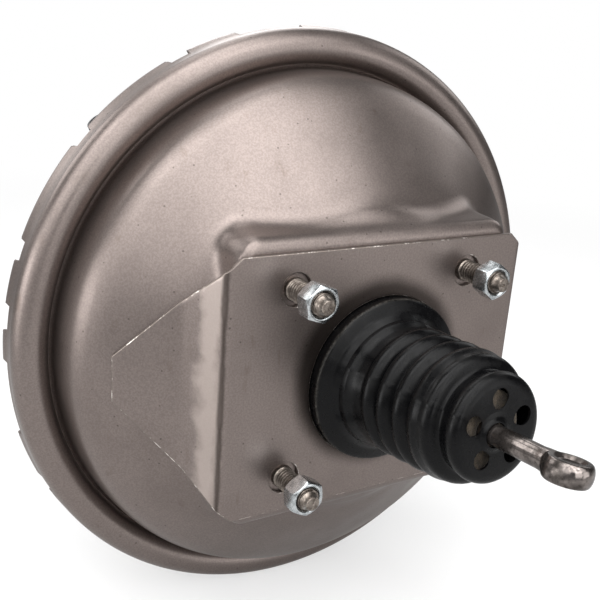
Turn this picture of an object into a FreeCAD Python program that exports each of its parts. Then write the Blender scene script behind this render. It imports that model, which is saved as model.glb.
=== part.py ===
# Vacuum brake booster, eleven inch single diaphragm, seen from the pedal side in the photograph.
# Row frame: origin on the booster axis at the outer face of the mounting plate.
# +X is right for someone at the pedal, +Y points forward to the master cylinder, +Z is up.
# Every size is in millimetres.
import FreeCAD, Part
import math
import os

os.makedirs("parts", exist_ok=True)

# Sheet metal housing
shell_wall = 2.0
drum_radius = 124.2
bead_outstand = 9.8
bead_radius = 8.0
bead_centre_y = 70.3
bead_squeeze = 0.3
dome_centre_y = 8.0
platform_face_y = 2.0
platform_base_y = 32.0
press_overrun = 8.0
platform_half_width = 71.6
platform_half_height = 66.1
platform_draft = 2.4
platform_corner = 12.0
boss_face_y = 8.4
boss_radius = 68.8
boss_slope = 0.7
collar_outer_radius = 24.5
collar_inner_radius = 22.5
collar_rear_y = -8.0
skirt_length = 5.1
lobe_step = 1.0
lobe_start = 1.9
lobe_end = 5.0
lobe_hook = 2.0
flange_gap = 0.4
hook_gap = 0.6
front_drum_step = 2.8
front_face_y = 150.0
front_face_radius = 56.0
front_face_step = 9.0
front_shoulder_y = 113.0
front_shoulder_radius = 18.0
pilot_bore_radius = 26.2
pilot_depth = 4.6
pilot_land = 2.3
seal_well_y = 138.0
seal_recess_radius = 20.0
front_rod_hole_radius = 9.0
seat_clearance = 0.05
end_gap = 0.1

# What follows from them
bead_ring_radius = drum_radius + bead_outstand
bead_rubber_radius = bead_radius - shell_wall - bead_squeeze
skirt_outer_radius = bead_ring_radius + bead_radius
skirt_inner_radius = skirt_outer_radius - shell_wall
skirt_end_y = bead_centre_y + skirt_length
lobe_outer_radius = skirt_outer_radius + lobe_step
lobe_end_y = skirt_end_y + lobe_end
front_flange_radius = skirt_inner_radius - flange_gap
front_flange_y = bead_centre_y + bead_rubber_radius
front_drum_radius = drum_radius + front_drum_step
front_ring_y = front_face_y - front_face_step
pilot_floor_y = front_face_y - pilot_depth

# Mounting plate
plate_thickness = 2.0
plate_half_width = 77.0
plate_half_height = 58.0
plate_corner_x = 70.0
plate_corner_z = 52.0
stud_hole_radius = 6.75
wing_bend_x = 85.5
wing_bend_y = 18.0
wing_bend_z = 38.0
wing_tip_x = 110.0
wing_tip_z = 10.0
side_wall_end_y = 34.0
dome_gap = 0.02

# Studs and nuts, three eighths inch thread
stud_radius = 4.7625
thread_core_radius = 4.55
thread_gap = 0.02
stud_spacing_x = 90.0
stud_spacing_z = 85.0
stud_shoulder_radius = 5.1
stud_shoulder_y = 0.5
stud_head_radius = 9.0
stud_head_height = 3.15
stud_tip_y = -23.7
dog_point_radius = 3.45
dog_point_chamfer = 0.5
nut_across_flats = 14.29
nut_outer_y = -19.2
nut_height = 8.3
nut_chamfer = 0.9
nut_turn_deg = 12.0
thread_run_out = 0.3
cylinder_stud_pcd = 85.725
cylinder_stud_length = 30.0
cylinder_stud_chamfer = 1.0
cylinder_stud_hole_radius = 5.0
cylinder_stud_head_radius = 7.0
cylinder_stud_head_height = 4.15
cylinder_stud_shoulder = 0.25

# Moving parts
stroke = 32.0
valve_stroke = 2.0
running_gap = 0.05
tube_radius = 17.5
tube_bore_radius = 13.5
tube_rear_y = -40.0
tube_floor_y = 8.0
valve_bore_radius = 6.5
valve_seat_radius = 9.4
valve_seat_wall = 1.6
valve_seat_y = 3.3
piston_hub_radius = 36.0
hub_rear_y = 13.5
hub_front_y = 19.9
piston_neck_radius = 29.9
neck_end_y = 28.5
nose_radius = 24.0
nose_bore_radius = 15.0
nose_floor_y = 30.0
nose_end_y = 44.0
reaction_disc_height = 5.9
rear_bearing_start_y = -1.0
rear_bearing_end_y = 4.0
diaphragm_wall = 1.6
support_wall = 1.5
lock_ring_wall = 1.4
lock_ring_radius = 37.4
boot_tilt_deg = 5.7
rod_tilt_deg = 4.6
ball_centre_y = -30.0
ball_radius = 6.0
rod_radius = 4.3
eye_centre_s = -110.3
eye_outer_radius = 9.2
eye_bore_radius = 4.9
eye_thickness = 8.6
eye_chamfer = 0.8
eye_roll_deg = 13.5
output_rod_radius = 7.0
output_tip_radius = 4.76
output_tip_y = 163.0
output_shank_end_y = 148.4
output_foot_height = 3.5
spring_wire_radius = 1.9
spring_mean_radius = 33.0
wire_sides = 10
socket_radius = 9.4
socket_rear_y = -37.4
socket_flange_radius = 12.6
valve_stem_radius = 4.6
valve_rim_radius = 7.8
valve_rim_y = 2.3
poppet_inner_radius = 5.2
poppet_outer_radius = 12.4
poppet_rear_y = -0.6
poppet_gap = 0.05
poppet_retainer_y = -12.6
poppet_retainer_height = 2.8

# Dust boot
boot_wall = 1.3
boot_flange_radius = 37.5
boot_seat_gap = 0.3
boot_face_s = -72.8
boot_cap_radius = 20.7
boot_face_crown = 1.5
boot_lip_height = 1.2
boot_hole_radius = 5.5
vent_radius = 4.1
vent_circle_radius = 12.8
vent_count = 5

# Check valve
valve_x = -52.7
valve_z = 62.8
grommet_hole_radius = 9.5
grommet_flange_radius = 12.6
grommet_height = 3.6
stem_radius = 6.0
valve_passage_radius = 3.0
valve_body_radius = 11.5
valve_body_end_y = 151.0
valve_chamber_radius = 9.2
valve_chamber_y = 147.0
valve_cap_end_y = 165.5
nipple_axis_y = 158.0
nipple_angle_deg = 130.0
nipple_length = 34.0
nipple_radius = 4.9
nipple_crest_radius = 5.6
nipple_bore_radius = 3.1
check_disc_radius = 6.6
check_disc_height = 1.58

# How far a cutting shape reaches past what it cuts
past = 10.0

V = FreeCAD.Vector
Y_AXIS = V(0, 1, 0)
ORIGIN = V(0, 0, 0)


def turned(points):
    """A full turn about the booster axis of a closed outline of (radius, y) points."""
    corners = [V(r, y, 0) for r, y in points]
    wire = Part.makePolygon(corners + [corners[0]])
    return Part.Face(wire).revolve(ORIGIN, Y_AXIS, 360)


def ring(inner, outer, start, end):
    """A plain ring, or a disc when inner is zero."""
    return turned([(inner, start), (outer, start), (outer, end), (inner, end)])


def arc(centre_r, centre_y, radius, first, last, steps):
    """Points on an arc in the (radius, y) plane, with angles in degrees."""
    found = []
    for i in range(steps + 1):
        angle = math.radians(first + (last - first) * i / steps)
        found.append((centre_r + radius * math.cos(angle), centre_y + radius * math.sin(angle)))
    return found


def beside(points, distance):
    """The same open line moved sideways by distance, to its left when that is positive."""
    moved = []
    count = len(points)
    for i, here in enumerate(points):
        before = points[max(i - 1, 0)]
        after = points[min(i + 1, count - 1)]
        normals = []
        for a, b in ((before, here), (here, after)):
            dx = b[0] - a[0]
            dy = b[1] - a[1]
            size = math.hypot(dx, dy)
            if size > 1e-9:
                normals.append((-dy / size, dx / size))
        nx = sum(n[0] for n in normals) / len(normals)
        ny = sum(n[1] for n in normals) / len(normals)
        size2 = max(nx * nx + ny * ny, 0.25)
        moved.append((here[0] + distance * nx / size2, here[1] + distance * ny / size2))
    return moved


def sheet(points, thickness):
    """A turned sheet that follows a line, thickness to the line's left."""
    return turned(points + beside(points, thickness)[::-1])


def prism(outline, y_start, y_end):
    """A straight prism along Y over an outline of (x, z) points."""
    corners = [V(x, y_start, z) for x, z in outline]
    wire = Part.makePolygon(corners + [corners[0]])
    return Part.Face(wire).extrude(V(0, y_end - y_start, 0))


def rod_y(radius, start, end, x=0.0, z=0.0):
    """A cylinder along Y."""
    return Part.makeCylinder(radius, end - start, V(x, start, z), Y_AXIS)


def moved(shape, x=0.0, y=0.0, z=0.0):
    copy = shape.copy()
    copy.translate(V(x, y, z))
    return copy


def tilted(shape, angle):
    """Turned upward about the ball centre, as the rod and the boot stand in the photograph."""
    copy = shape.copy()
    copy.rotate(V(0, ball_centre_y, 0), V(1, 0, 0), -angle)
    return copy


def coil(mean_radius, wire_radius, start, end, turns):
    """A round wire spring along Y between two end planes."""
    low = start + wire_radius
    height = end - start - 2 * wire_radius
    path = Part.makeHelix(height / turns, height, mean_radius)
    corners = []
    for i in range(wire_sides):
        turn = 2 * math.pi * (i + 0.5) / wire_sides
        corners.append(V(mean_radius + wire_radius * math.cos(turn), 0, wire_radius * math.sin(turn)))
    profile = Part.makePolygon(corners + [corners[0]])
    solid = Part.Wire(path.Edges).makePipeShell([profile], True, True)
    solid.rotate(ORIGIN, V(1, 0, 0), -90)
    solid.translate(V(0, low, 0))
    return solid


def rounded_rectangle(half_x, half_z, corner, y):
    """A closed wire at height y."""
    edges = []
    centres = ((1, 1, 0), (-1, 1, 90), (-1, -1, 180), (1, -1, 270))
    ends = []
    for sx, sz, first in centres:
        cx = sx * (half_x - corner)
        cz = sz * (half_z - corner)
        three = []
        for angle in (first, first + 45, first + 90):
            turn = math.radians(angle)
            three.append(V(cx + corner * math.cos(turn), y, cz + corner * math.sin(turn)))
        edges.append(Part.Arc(three[0], three[1], three[2]).toShape())
        ends.append((three[0], three[2]))
    for i in range(4):
        edges.append(Part.LineSegment(ends[i][1], ends[(i + 1) % 4][0]).toShape())
    return Part.Wire(Part.__sortEdges__(edges))


def pressing(shrink, face_y, base_y):
    """The raised platform, a rounded rectangle, on the lower round boss, both with draft."""
    flare = platform_draft
    half_x = platform_half_width - shrink
    half_z = platform_half_height - shrink
    corner = platform_corner - shrink
    top = rounded_rectangle(half_x - flare, half_z - flare, corner, face_y)
    base = rounded_rectangle(half_x + flare * 0.6, half_z + flare * 0.6, corner, base_y)
    block = Part.makeLoft([top, base], True)
    boss_y = face_y + boss_face_y - platform_face_y
    boss = turned([
        (0, boss_y),
        (boss_radius - shrink, boss_y),
        (boss_radius - shrink + boss_slope * (base_y - boss_y), base_y),
        (0, base_y),
    ])
    return block.fuse(boss)


def save(shape, name):
    """One file for each piece."""
    if shape.ShapeType == "Compound" and len(shape.Solids) == 1:
        shape = shape.Solids[0]
    print(name, len(shape.Solids), shape.isValid(), round(shape.Volume, 1))
    shape.exportStep("parts/" + name + ".step")


# Rear shell: dome, drum wall, groove, rolled bead and skirt, with the pressed platform.
# The dome's line is given by how far in from the drum wall and how far forward of its centre it is.
dome_line = [(0, dome_centre_y)]
dome_steps = [(79.2, 0.5), (64.2, 2.2), (49.2, 7.0), (38.7, 12.6), (24.2, 22.4), (14.2, 29.6), (8.7, 33.9)]
dome_steps += [(5.0, 37.6), (2.6, 41.4), (1.3, 45.5), (0.4, 51.0)]
dome_line += [(drum_radius - inward, dome_centre_y + forward) for inward, forward in dome_steps]
drum_line = [(drum_radius, bead_centre_y - 4.3)]
drum_line += [(drum_radius + 0.5, bead_centre_y - 1.7), (drum_radius + 1.4, bead_centre_y - 1.0)]
bead_line = arc(bead_ring_radius, bead_centre_y, bead_radius, 187, 360, 14)
outer_line = dome_line + drum_line + bead_line + [(skirt_outer_radius, skirt_end_y)]
shell_outer = turned(outer_line + [(0, skirt_end_y)])
inner_dome = beside(dome_line, shell_wall)
inner_dome[0] = (0, dome_centre_y + shell_wall)
inner_line = inner_dome + [(drum_radius - shell_wall, bead_centre_y + 1.0)]
inner_bead = arc(bead_ring_radius, bead_centre_y, bead_radius - shell_wall, 170, 360, 14)
inner_line += inner_bead + [(skirt_inner_radius, skirt_end_y + past), (0, skirt_end_y + past)]
shell_inner = turned(inner_line)
outer_press = pressing(0.0, platform_face_y, platform_base_y)
inner_press = pressing(shell_wall, platform_face_y + shell_wall, platform_base_y + press_overrun)
rear_outer = shell_outer.fuse(outer_press)
rear_inner = shell_inner.fuse(inner_press)
rear_shell = rear_outer.cut(rear_inner)
collar = ring(0, collar_outer_radius, collar_rear_y, platform_face_y + shell_wall / 2.0)
collar_lip = ring(0, collar_outer_radius + 1.2, collar_rear_y, collar_rear_y + 1.6)
rear_shell = rear_shell.fuse(collar).fuse(collar_lip)
rear_shell = rear_shell.cut(rod_y(collar_inner_radius, collar_rear_y - past, dome_centre_y + 2 * past))

# Lobes of the skirt that lock over the front shell, first and last angle of each one.
lobes = [(81.5, 91.8), (105.0, 115.2), (119.2, 137.4), (141.2, 159.4), (162.9, 171.0), (175.4, 181.2)]
lobes += [(195.5, 205.5), (209.5, 227.5), (231.3, 249.3), (253.0, 261.0), (265.4, 271.4), (285.5, 295.5)]
lobes += [(299.5, 317.5), (321.3, 339.3), (343.0, 351.0), (355.4, 361.4), (15.5, 25.5), (29.5, 47.5)]
lobes += [(51.3, 69.3)]
lobe_start_y = skirt_end_y - lobe_start
hook_y = front_flange_y + shell_wall + hook_gap
lobe_profile = [(skirt_inner_radius, lobe_start_y), (lobe_outer_radius - 0.8, lobe_start_y)]
lobe_profile += [(lobe_outer_radius, lobe_start_y + 1.1)]
lobe_profile += [(lobe_outer_radius, lobe_end_y - 0.6), (lobe_outer_radius - 0.6, lobe_end_y)]
lobe_profile += [(skirt_inner_radius - lobe_hook, lobe_end_y), (skirt_inner_radius - lobe_hook, hook_y)]
lobe_profile += [(skirt_inner_radius, hook_y)]
lobe_corners = [V(r, y, 0) for r, y in lobe_profile]
lobe_face = Part.Face(Part.makePolygon(lobe_corners + [lobe_corners[0]]))
for first, last in lobes:
    # A positive turn about Y runs from +X towards -Z, so each lobe is swept from its last angle.
    start_face = lobe_face.copy()
    start_face.rotate(ORIGIN, Y_AXIS, -last)
    rear_shell = rear_shell.fuse(start_face.revolve(ORIGIN, Y_AXIS, last - first))

stud_places = []
for sx, sz in ((-1, 1), (1, 1), (-1, -1), (1, -1)):
    stud_places.append((sx * stud_spacing_x / 2.0, sz * stud_spacing_z / 2.0))
for x, z in stud_places:
    stud_way = rod_y(stud_shoulder_radius + thread_gap, platform_face_y - past, platform_face_y + past, x, z)
    rear_shell = rear_shell.cut(stud_way)
save(rear_shell, "rear_shell")

# Mounting plate: flat middle, sloped side walls and wings that lie on the dome.
plate_outline = [(-plate_corner_x, plate_half_height), (plate_corner_x, plate_half_height)]
plate_outline += [(plate_half_width, plate_corner_z), (wing_bend_x, wing_bend_z), (wing_tip_x, wing_tip_z)]
plate_outline += [(wing_tip_x, -wing_tip_z), (wing_bend_x, -wing_bend_z), (plate_half_width, -plate_corner_z)]
plate_outline += [(plate_corner_x, -plate_half_height), (-plate_corner_x, -plate_half_height)]
plate_outline += [(-plate_half_width, -plate_corner_z), (-wing_bend_x, -wing_bend_z)]
plate_outline += [(-wing_tip_x, -wing_tip_z), (-wing_tip_x, wing_tip_z), (-wing_bend_x, wing_bend_z)]
plate_outline += [(-plate_half_width, plate_corner_z)]
window = prism(plate_outline, -past, bead_centre_y)
wall_slope = (wing_bend_x - plate_half_width) / wing_bend_y
section = [(-plate_half_width - wall_slope * side_wall_end_y, side_wall_end_y), (-plate_half_width, 0)]
section += [(plate_half_width, 0), (plate_half_width + wall_slope * side_wall_end_y, side_wall_end_y)]
back = beside(section, plate_thickness)
tray_half = plate_half_height + past
edge = [V(x, y, -tray_half) for x, y in section + back[::-1]]
tray = Part.Face(Part.makePolygon(edge + [edge[0]])).extrude(V(0, 0, 2 * tray_half))
skin_line = beside(dome_line[2:], -plate_thickness)
skin = turned(skin_line + [(skin_line[-1][0], bead_centre_y), (skin_line[0][0], bead_centre_y)])
beyond = []
for side in (-1, 1):
    deep_x = plate_half_width + wall_slope * bead_centre_y
    cut = [(side * plate_half_width, 0), (side * deep_x, bead_centre_y)]
    cut += [(side * skirt_outer_radius, bead_centre_y), (side * skirt_outer_radius, 0)]
    corners = [V(x, y, -tray_half) for x, y in cut]
    beyond.append(Part.Face(Part.makePolygon(corners + [corners[0]])).extrude(V(0, 0, 2 * tray_half)))
wings = skin.common(beyond[0].fuse(beyond[1]))
plate = tray.fuse(wings).common(window)
dome_clear_line = [(0, dome_centre_y + 1.0)] + [(r, y - dome_gap) for r, y in dome_line[1:]]
dome_clear = turned(dome_clear_line + [(dome_line[-1][0], bead_centre_y), (0, bead_centre_y)])
plate = plate.cut(dome_clear).cut(outer_press)
keep = [s for s in plate.Solids if s.Volume > 50.0]
plate = keep[0] if len(keep) == 1 else keep[0].fuse(keep[1:])
# The boot's flange stands on the platform, inside the plate's hole.
plate_hole_radius = boot_flange_radius + boot_seat_gap
plate = plate.cut(rod_y(plate_hole_radius, -past, plate_thickness + past))
for x, z in stud_places:
    plate = plate.cut(rod_y(stud_hole_radius, -past, plate_thickness + past, x, z))
save(plate, "mounting_plate")

# Firewall studs and their nuts
hexagon = []
for i in range(6):
    turn = math.radians(60 * i + nut_turn_deg)
    reach = nut_across_flats / 2.0 / math.cos(math.radians(30))
    hexagon.append((reach * math.cos(turn), reach * math.sin(turn)))
nut_inner_y = nut_outer_y + nut_height
crown = nut_across_flats / 2.0
tall = nut_across_flats / 2.0 / math.cos(math.radians(30))
nut_turn = turned([
    (0, nut_outer_y),
    (crown - 0.2, nut_outer_y),
    (tall + 0.1, nut_outer_y + nut_chamfer),
    (tall + 0.1, nut_inner_y - nut_chamfer),
    (crown - 0.2, nut_inner_y),
    (0, nut_inner_y),
])
nut = prism(hexagon, nut_outer_y, nut_inner_y).common(nut_turn)
nut = nut.cut(rod_y(thread_core_radius + thread_gap, nut_outer_y - past, nut_inner_y + past))
stud_head_y = platform_face_y + shell_wall + running_gap
stud = turned([
    (0, stud_tip_y),
    (dog_point_radius - dog_point_chamfer, stud_tip_y),
    (dog_point_radius, stud_tip_y + dog_point_chamfer),
    (dog_point_radius, nut_outer_y - 0.9),
    (thread_core_radius, nut_outer_y - 0.1),
    (thread_core_radius, nut_inner_y + thread_run_out),
    (stud_radius, nut_inner_y + thread_run_out),
    (stud_radius, stud_shoulder_y),
    (stud_shoulder_radius, stud_shoulder_y),
    (stud_shoulder_radius, stud_head_y),
    (stud_head_radius, stud_head_y),
    (stud_head_radius, stud_head_y + stud_head_height),
    (0, stud_head_y + stud_head_height),
])
for number, (x, z) in enumerate(stud_places, 1):
    save(moved(stud, x, 0, z), "firewall_stud_%d" % number)
    save(moved(nut, x, 0, z), "firewall_nut_%d" % number)

# Front shell: flange under the lobes, drum wall, flat ring for the valve and the raised face.
flange_top_y = front_flange_y + shell_wall
front_line = [(front_flange_radius, flange_top_y), (front_drum_radius + 3.0, flange_top_y)]
front_line += [(front_drum_radius + 1.2, flange_top_y + 0.9), (front_drum_radius + 0.5, flange_top_y + 3.0)]
front_line += [(front_drum_radius, front_shoulder_y - 1.0)]
shoulder_centre = front_drum_radius - front_shoulder_radius
front_line += arc(shoulder_centre, front_shoulder_y, front_shoulder_radius, 8, 62, 6)
front_line += [(front_drum_radius - 26.5, front_ring_y - 2.0), (front_drum_radius - 31.0, front_ring_y)]
front_line += [(front_face_radius + 10.0, front_ring_y), (front_face_radius + 6.5, front_ring_y + 1.6)]
front_line += [(front_face_radius + 1.5, front_face_y - 1.2), (front_face_radius - 1.0, front_face_y)]
front_outer = turned(front_line + [(0, front_face_y), (0, flange_top_y)])
front_in = beside(front_line, shell_wall)
front_in[0] = (front_flange_radius + 1.0, front_flange_y)
well_wall_radius = pilot_bore_radius + pilot_land
well_back_y = seal_well_y - shell_wall
front_in += [(well_wall_radius, front_face_y - shell_wall), (well_wall_radius, well_back_y), (0, well_back_y)]
front_in += [(0, bead_centre_y), (front_flange_radius + 1.0, bead_centre_y)]
front_inner = turned(front_in)
flange_band = ring(0, front_flange_radius, front_flange_y, flange_top_y)
front_shell = front_outer.fuse(flange_band).cut(front_inner)
well = turned([
    (0, seal_well_y),
    (seal_recess_radius, seal_well_y),
    (seal_recess_radius, pilot_floor_y),
    (pilot_bore_radius, pilot_floor_y),
    (pilot_bore_radius, front_face_y + past),
    (0, front_face_y + past),
])
front_shell = front_shell.cut(well).cut(rod_y(front_rod_hole_radius, well_back_y - past, seal_well_y + past))
grommet_way = rod_y(grommet_hole_radius, front_ring_y - past, front_ring_y + past, valve_x, valve_z)
front_shell = front_shell.cut(grommet_way)
for side in (-1, 1):
    way_x = side * cylinder_stud_pcd / 2.0
    front_shell = front_shell.cut(
        rod_y(cylinder_stud_hole_radius, front_face_y - past, front_face_y + past, way_x, 0))
save(front_shell, "front_shell")

cylinder_head_y = front_face_y - shell_wall - running_gap
cylinder_stud = turned([
    (0, cylinder_head_y - cylinder_stud_head_height),
    (cylinder_stud_head_radius, cylinder_head_y - cylinder_stud_head_height),
    (cylinder_stud_head_radius, cylinder_head_y),
    (cylinder_stud_hole_radius - seat_clearance, cylinder_head_y),
    (cylinder_stud_hole_radius - seat_clearance, front_face_y + cylinder_stud_shoulder),
    (stud_radius, front_face_y + cylinder_stud_shoulder),
    (stud_radius, front_face_y + cylinder_stud_length - cylinder_stud_chamfer),
    (stud_radius - cylinder_stud_chamfer, front_face_y + cylinder_stud_length),
    (0, front_face_y + cylinder_stud_length),
])
for number, side in ((1, -1), (2, 1)):
    save(moved(cylinder_stud, side * cylinder_stud_pcd / 2.0, 0, 0), "master_cylinder_stud_%d" % number)

# Front seal in its recess, held by a pressed ring
seal_start_y = seal_well_y + end_gap
seal_end_y = seal_start_y + 5.5
seal_outer_radius = seal_recess_radius - seat_clearance
front_seal = turned([
    (output_rod_radius + running_gap, seal_start_y),
    (seal_outer_radius, seal_start_y),
    (seal_outer_radius, seal_end_y),
    (output_rod_radius + 6.0, seal_end_y),
    (output_rod_radius + 5.0, seal_start_y + 2.5),
    (output_rod_radius + 2.6, seal_start_y + 2.5),
    (output_rod_radius + 1.6, seal_end_y - 0.6),
    (output_rod_radius + running_gap, seal_end_y - 0.6),
])
save(front_seal, "front_seal")
retainer_y = seal_end_y + end_gap
save(ring(output_rod_radius + 4.0, seal_outer_radius, retainer_y, retainer_y + 1.4), "front_seal_retainer")

# Rear bearing and seal around the piston tube
collar_fit_radius = collar_inner_radius - seat_clearance
bearing = ring(tube_radius + running_gap, collar_fit_radius, rear_bearing_start_y, rear_bearing_end_y)
save(bearing, "rear_bearing")
rear_seal_y = collar_rear_y + 0.4
rear_seal = turned([
    (tube_radius + running_gap, rear_seal_y),
    (tube_radius + 1.5, rear_seal_y),
    (tube_radius + 2.1, rear_seal_y + 3.0),
    (collar_fit_radius, rear_seal_y),
    (collar_fit_radius, rear_bearing_start_y - 0.2),
    (tube_radius + running_gap, rear_bearing_start_y - 0.2),
])
save(rear_seal, "rear_seal")

# Power piston: tube to the rear, hub through the diaphragm, nose with the reaction disc.
piston = turned([
    (valve_bore_radius, tube_floor_y),
    (valve_seat_radius, tube_floor_y),
    (valve_seat_radius, valve_seat_y),
    (valve_seat_radius + valve_seat_wall, valve_seat_y),
    (valve_seat_radius + valve_seat_wall, tube_floor_y),
    (tube_bore_radius, tube_floor_y),
    (tube_bore_radius, tube_rear_y),
    (tube_radius - 1.0, tube_rear_y),
    (tube_radius, tube_rear_y + 1.0),
    (tube_radius, hub_rear_y - 3.0),
    (nose_radius, hub_rear_y - 1.5),
    (piston_hub_radius, hub_rear_y),
    (piston_hub_radius, hub_front_y),
    (piston_neck_radius, hub_front_y),
    (piston_neck_radius, neck_end_y),
    (nose_radius + 2.0, neck_end_y + 1.5),
    (nose_radius, nose_end_y),
    (nose_bore_radius, nose_end_y),
    (nose_bore_radius, nose_floor_y),
    (valve_bore_radius, nose_floor_y),
])
save(piston, "power_piston")
disc_rear_y = nose_floor_y + end_gap
disc_front_y = disc_rear_y + reaction_disc_height
save(ring(0, nose_bore_radius - end_gap, disc_rear_y, disc_front_y), "reaction_disc")
foot_y = disc_front_y + end_gap
foot_radius = nose_bore_radius - 0.4
output_rod = turned([
    (0, foot_y),
    (foot_radius, foot_y),
    (foot_radius, foot_y + output_foot_height),
    (output_rod_radius + 2.0, foot_y + output_foot_height + 1.6),
    (output_rod_radius, foot_y + output_foot_height + 3.4),
    (output_rod_radius, output_shank_end_y),
    (output_tip_radius, output_shank_end_y + 2.0),
    (output_tip_radius, output_tip_y - 2.0),
    (output_tip_radius - 1.36, output_tip_y - 0.5),
    (0, output_tip_y),
])
save(output_rod, "output_rod")
retainer_foot_y = foot_y + output_foot_height
rod_retainer = turned([
    (output_rod_radius + 2.6, retainer_foot_y + 2.0),
    (nose_bore_radius - seat_clearance, retainer_foot_y + 0.3),
    (nose_bore_radius - seat_clearance, retainer_foot_y + 2.4),
    (output_rod_radius + 2.6, retainer_foot_y + 4.0),
])
save(rod_retainer, "output_rod_retainer")

# Diaphragm, its support plate and the lock ring
neck_fit_radius = piston_neck_radius + end_gap
flat_end_radius = drum_radius - 66.2
skin_y = hub_front_y + end_gap
skin_points = [(neck_fit_radius, skin_y), (flat_end_radius, skin_y), (flat_end_radius + 8.0, skin_y + 0.6)]
skin_points += [(drum_radius - 44.2, skin_y + 4.8), (drum_radius - 29.2, skin_y + 13.6)]
skin_points += [(drum_radius - 20.2, skin_y + 20.5), (drum_radius - 17.2, skin_y + 28.0)]
skin_points += [(drum_radius - 12.2, bead_centre_y - 10.3), (drum_radius - 6.8, bead_centre_y - 0.7)]
skin_points += [(drum_radius - 3.2, bead_centre_y + 2.4), (bead_ring_radius - 4.0, bead_centre_y + 2.4)]
membrane = sheet(skin_points, diaphragm_wall)
bead = turned(arc(bead_ring_radius, bead_centre_y, bead_rubber_radius, 0, 345, 23))
save(membrane.fuse(bead), "diaphragm")
dish_y = skin_y + diaphragm_wall + end_gap
dish = [(neck_fit_radius, dish_y), (flat_end_radius, dish_y), (flat_end_radius + 8.0, dish_y + 0.6)]
dish += [(drum_radius - 45.2, dish_y + 4.6), (drum_radius - 30.6, dish_y + 13.2)]
dish += [(drum_radius - 25.2, dish_y + 17.5), (drum_radius - 23.4, dish_y + 20.3)]
dish += [(drum_radius - 22.8, dish_y + 28.3)]
save(sheet(dish, support_wall), "diaphragm_plate")
lock_y = dish_y + support_wall + end_gap
lock_floor_y = lock_y + lock_ring_wall
lock_ring = turned([
    (neck_fit_radius, lock_y),
    (lock_ring_radius - 0.4, lock_y),
    (lock_ring_radius, lock_y + 4.3),
    (lock_ring_radius - 1.2, lock_y + 4.3),
    (lock_ring_radius - 1.7, lock_floor_y),
    (neck_fit_radius, lock_floor_y),
])
save(lock_ring, "diaphragm_lock_ring")
spring_start_y = lock_floor_y + seat_clearance
spring_end_y = front_face_y - shell_wall - seat_clearance
save(coil(spring_mean_radius, spring_wire_radius, spring_start_y, spring_end_y, 6.5), "return_spring")

# Air valve with the ball socket, poppet, their springs and the filters
valve_tip_y = disc_rear_y - valve_stroke - 0.2
socket = turned([
    (0, valve_tip_y),
    (valve_bore_radius - running_gap, valve_tip_y),
    (valve_bore_radius - running_gap, valve_rim_y + 2.7),
    (valve_rim_radius, valve_rim_y + 2.3),
    (valve_rim_radius, valve_rim_y),
    (valve_stem_radius, valve_rim_y),
    (valve_stem_radius, ball_centre_y + 12.0),
    (socket_radius, ball_centre_y + 9.0),
    (socket_radius, socket_rear_y + 2.0),
    (socket_flange_radius, socket_rear_y + 1.8),
    (socket_flange_radius, socket_rear_y),
    (0, socket_rear_y),
])
ball_room = Part.makeSphere(ball_radius + running_gap, V(0, ball_centre_y, 0))
mouth = turned([
    (0, ball_centre_y - 3.0),
    (ball_radius - 1.0, ball_centre_y - 3.4),
    (ball_radius - 0.4, ball_centre_y - 9.0),
    (0, ball_centre_y - 9.0),
])
save(socket.cut(ball_room).cut(mouth), "air_valve")
poppet_front_y = valve_rim_y - poppet_gap
poppet = turned([
    (poppet_inner_radius, poppet_rear_y),
    (poppet_outer_radius, poppet_rear_y),
    (poppet_outer_radius, poppet_front_y - 1.05),
    (poppet_outer_radius - 0.8, poppet_front_y),
    (poppet_inner_radius, poppet_front_y),
])
save(poppet, "poppet")
retainer_front_y = poppet_retainer_y + poppet_retainer_height
tube_fit_radius = tube_bore_radius - 0.1
save(ring(poppet_inner_radius, tube_fit_radius, poppet_retainer_y, retainer_front_y), "poppet_retainer")
poppet_coil = coil(9.0, 0.5, retainer_front_y + seat_clearance, poppet_rear_y - seat_clearance, 4.0)
save(poppet_coil, "poppet_spring")
valve_coil_start = socket_rear_y + 1.9
valve_coil = coil(11.3, 0.8, valve_coil_start, poppet_retainer_y - seat_clearance, 5.5)
save(valve_coil, "valve_return_spring")
filter_radius = tube_bore_radius - seat_clearance
save(ring(tube_bore_radius - 0.5, filter_radius, tube_rear_y + 0.4, tube_rear_y + 4.0), "piston_filter_ring")

# Push rod, built straight along the axis and then tilted
half_eye = eye_thickness / 2.0
shaft_end_s = eye_centre_s + eye_outer_radius + 2.5
shaft = turned([
    (0, shaft_end_s),
    (rod_radius, shaft_end_s),
    (rod_radius, ball_centre_y - 8.5),
    (rod_radius - 0.8, ball_centre_y - 6.6),
    (rod_radius - 0.8, ball_centre_y - 4.0),
    (0, ball_centre_y - 4.0),
])
ball = Part.makeSphere(ball_radius, V(0, ball_centre_y, 0))
neck = Part.makeLoft([
    Part.Wire([Part.makeCircle(rod_radius, V(0, shaft_end_s + 1.0, 0), Y_AXIS)]),
    Part.Wire([Part.makeCircle(half_eye, V(0, eye_centre_s + eye_outer_radius - 1.0, 0), Y_AXIS)]),
], True)
eye = Part.makeCylinder(eye_outer_radius, eye_thickness, V(0, eye_centre_s, -half_eye), V(0, 0, 1))
eye = eye.makeChamfer(1.2, [e for e in eye.Edges if abs(e.Length - 2 * math.pi * eye_outer_radius) < 0.1])
rod = shaft.fuse(ball).fuse(neck).fuse(eye)
eye_way_start = V(0, eye_centre_s, -half_eye - past)
rod = rod.cut(Part.makeCylinder(eye_bore_radius, eye_thickness + 2 * past, eye_way_start, V(0, 0, 1)))
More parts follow.
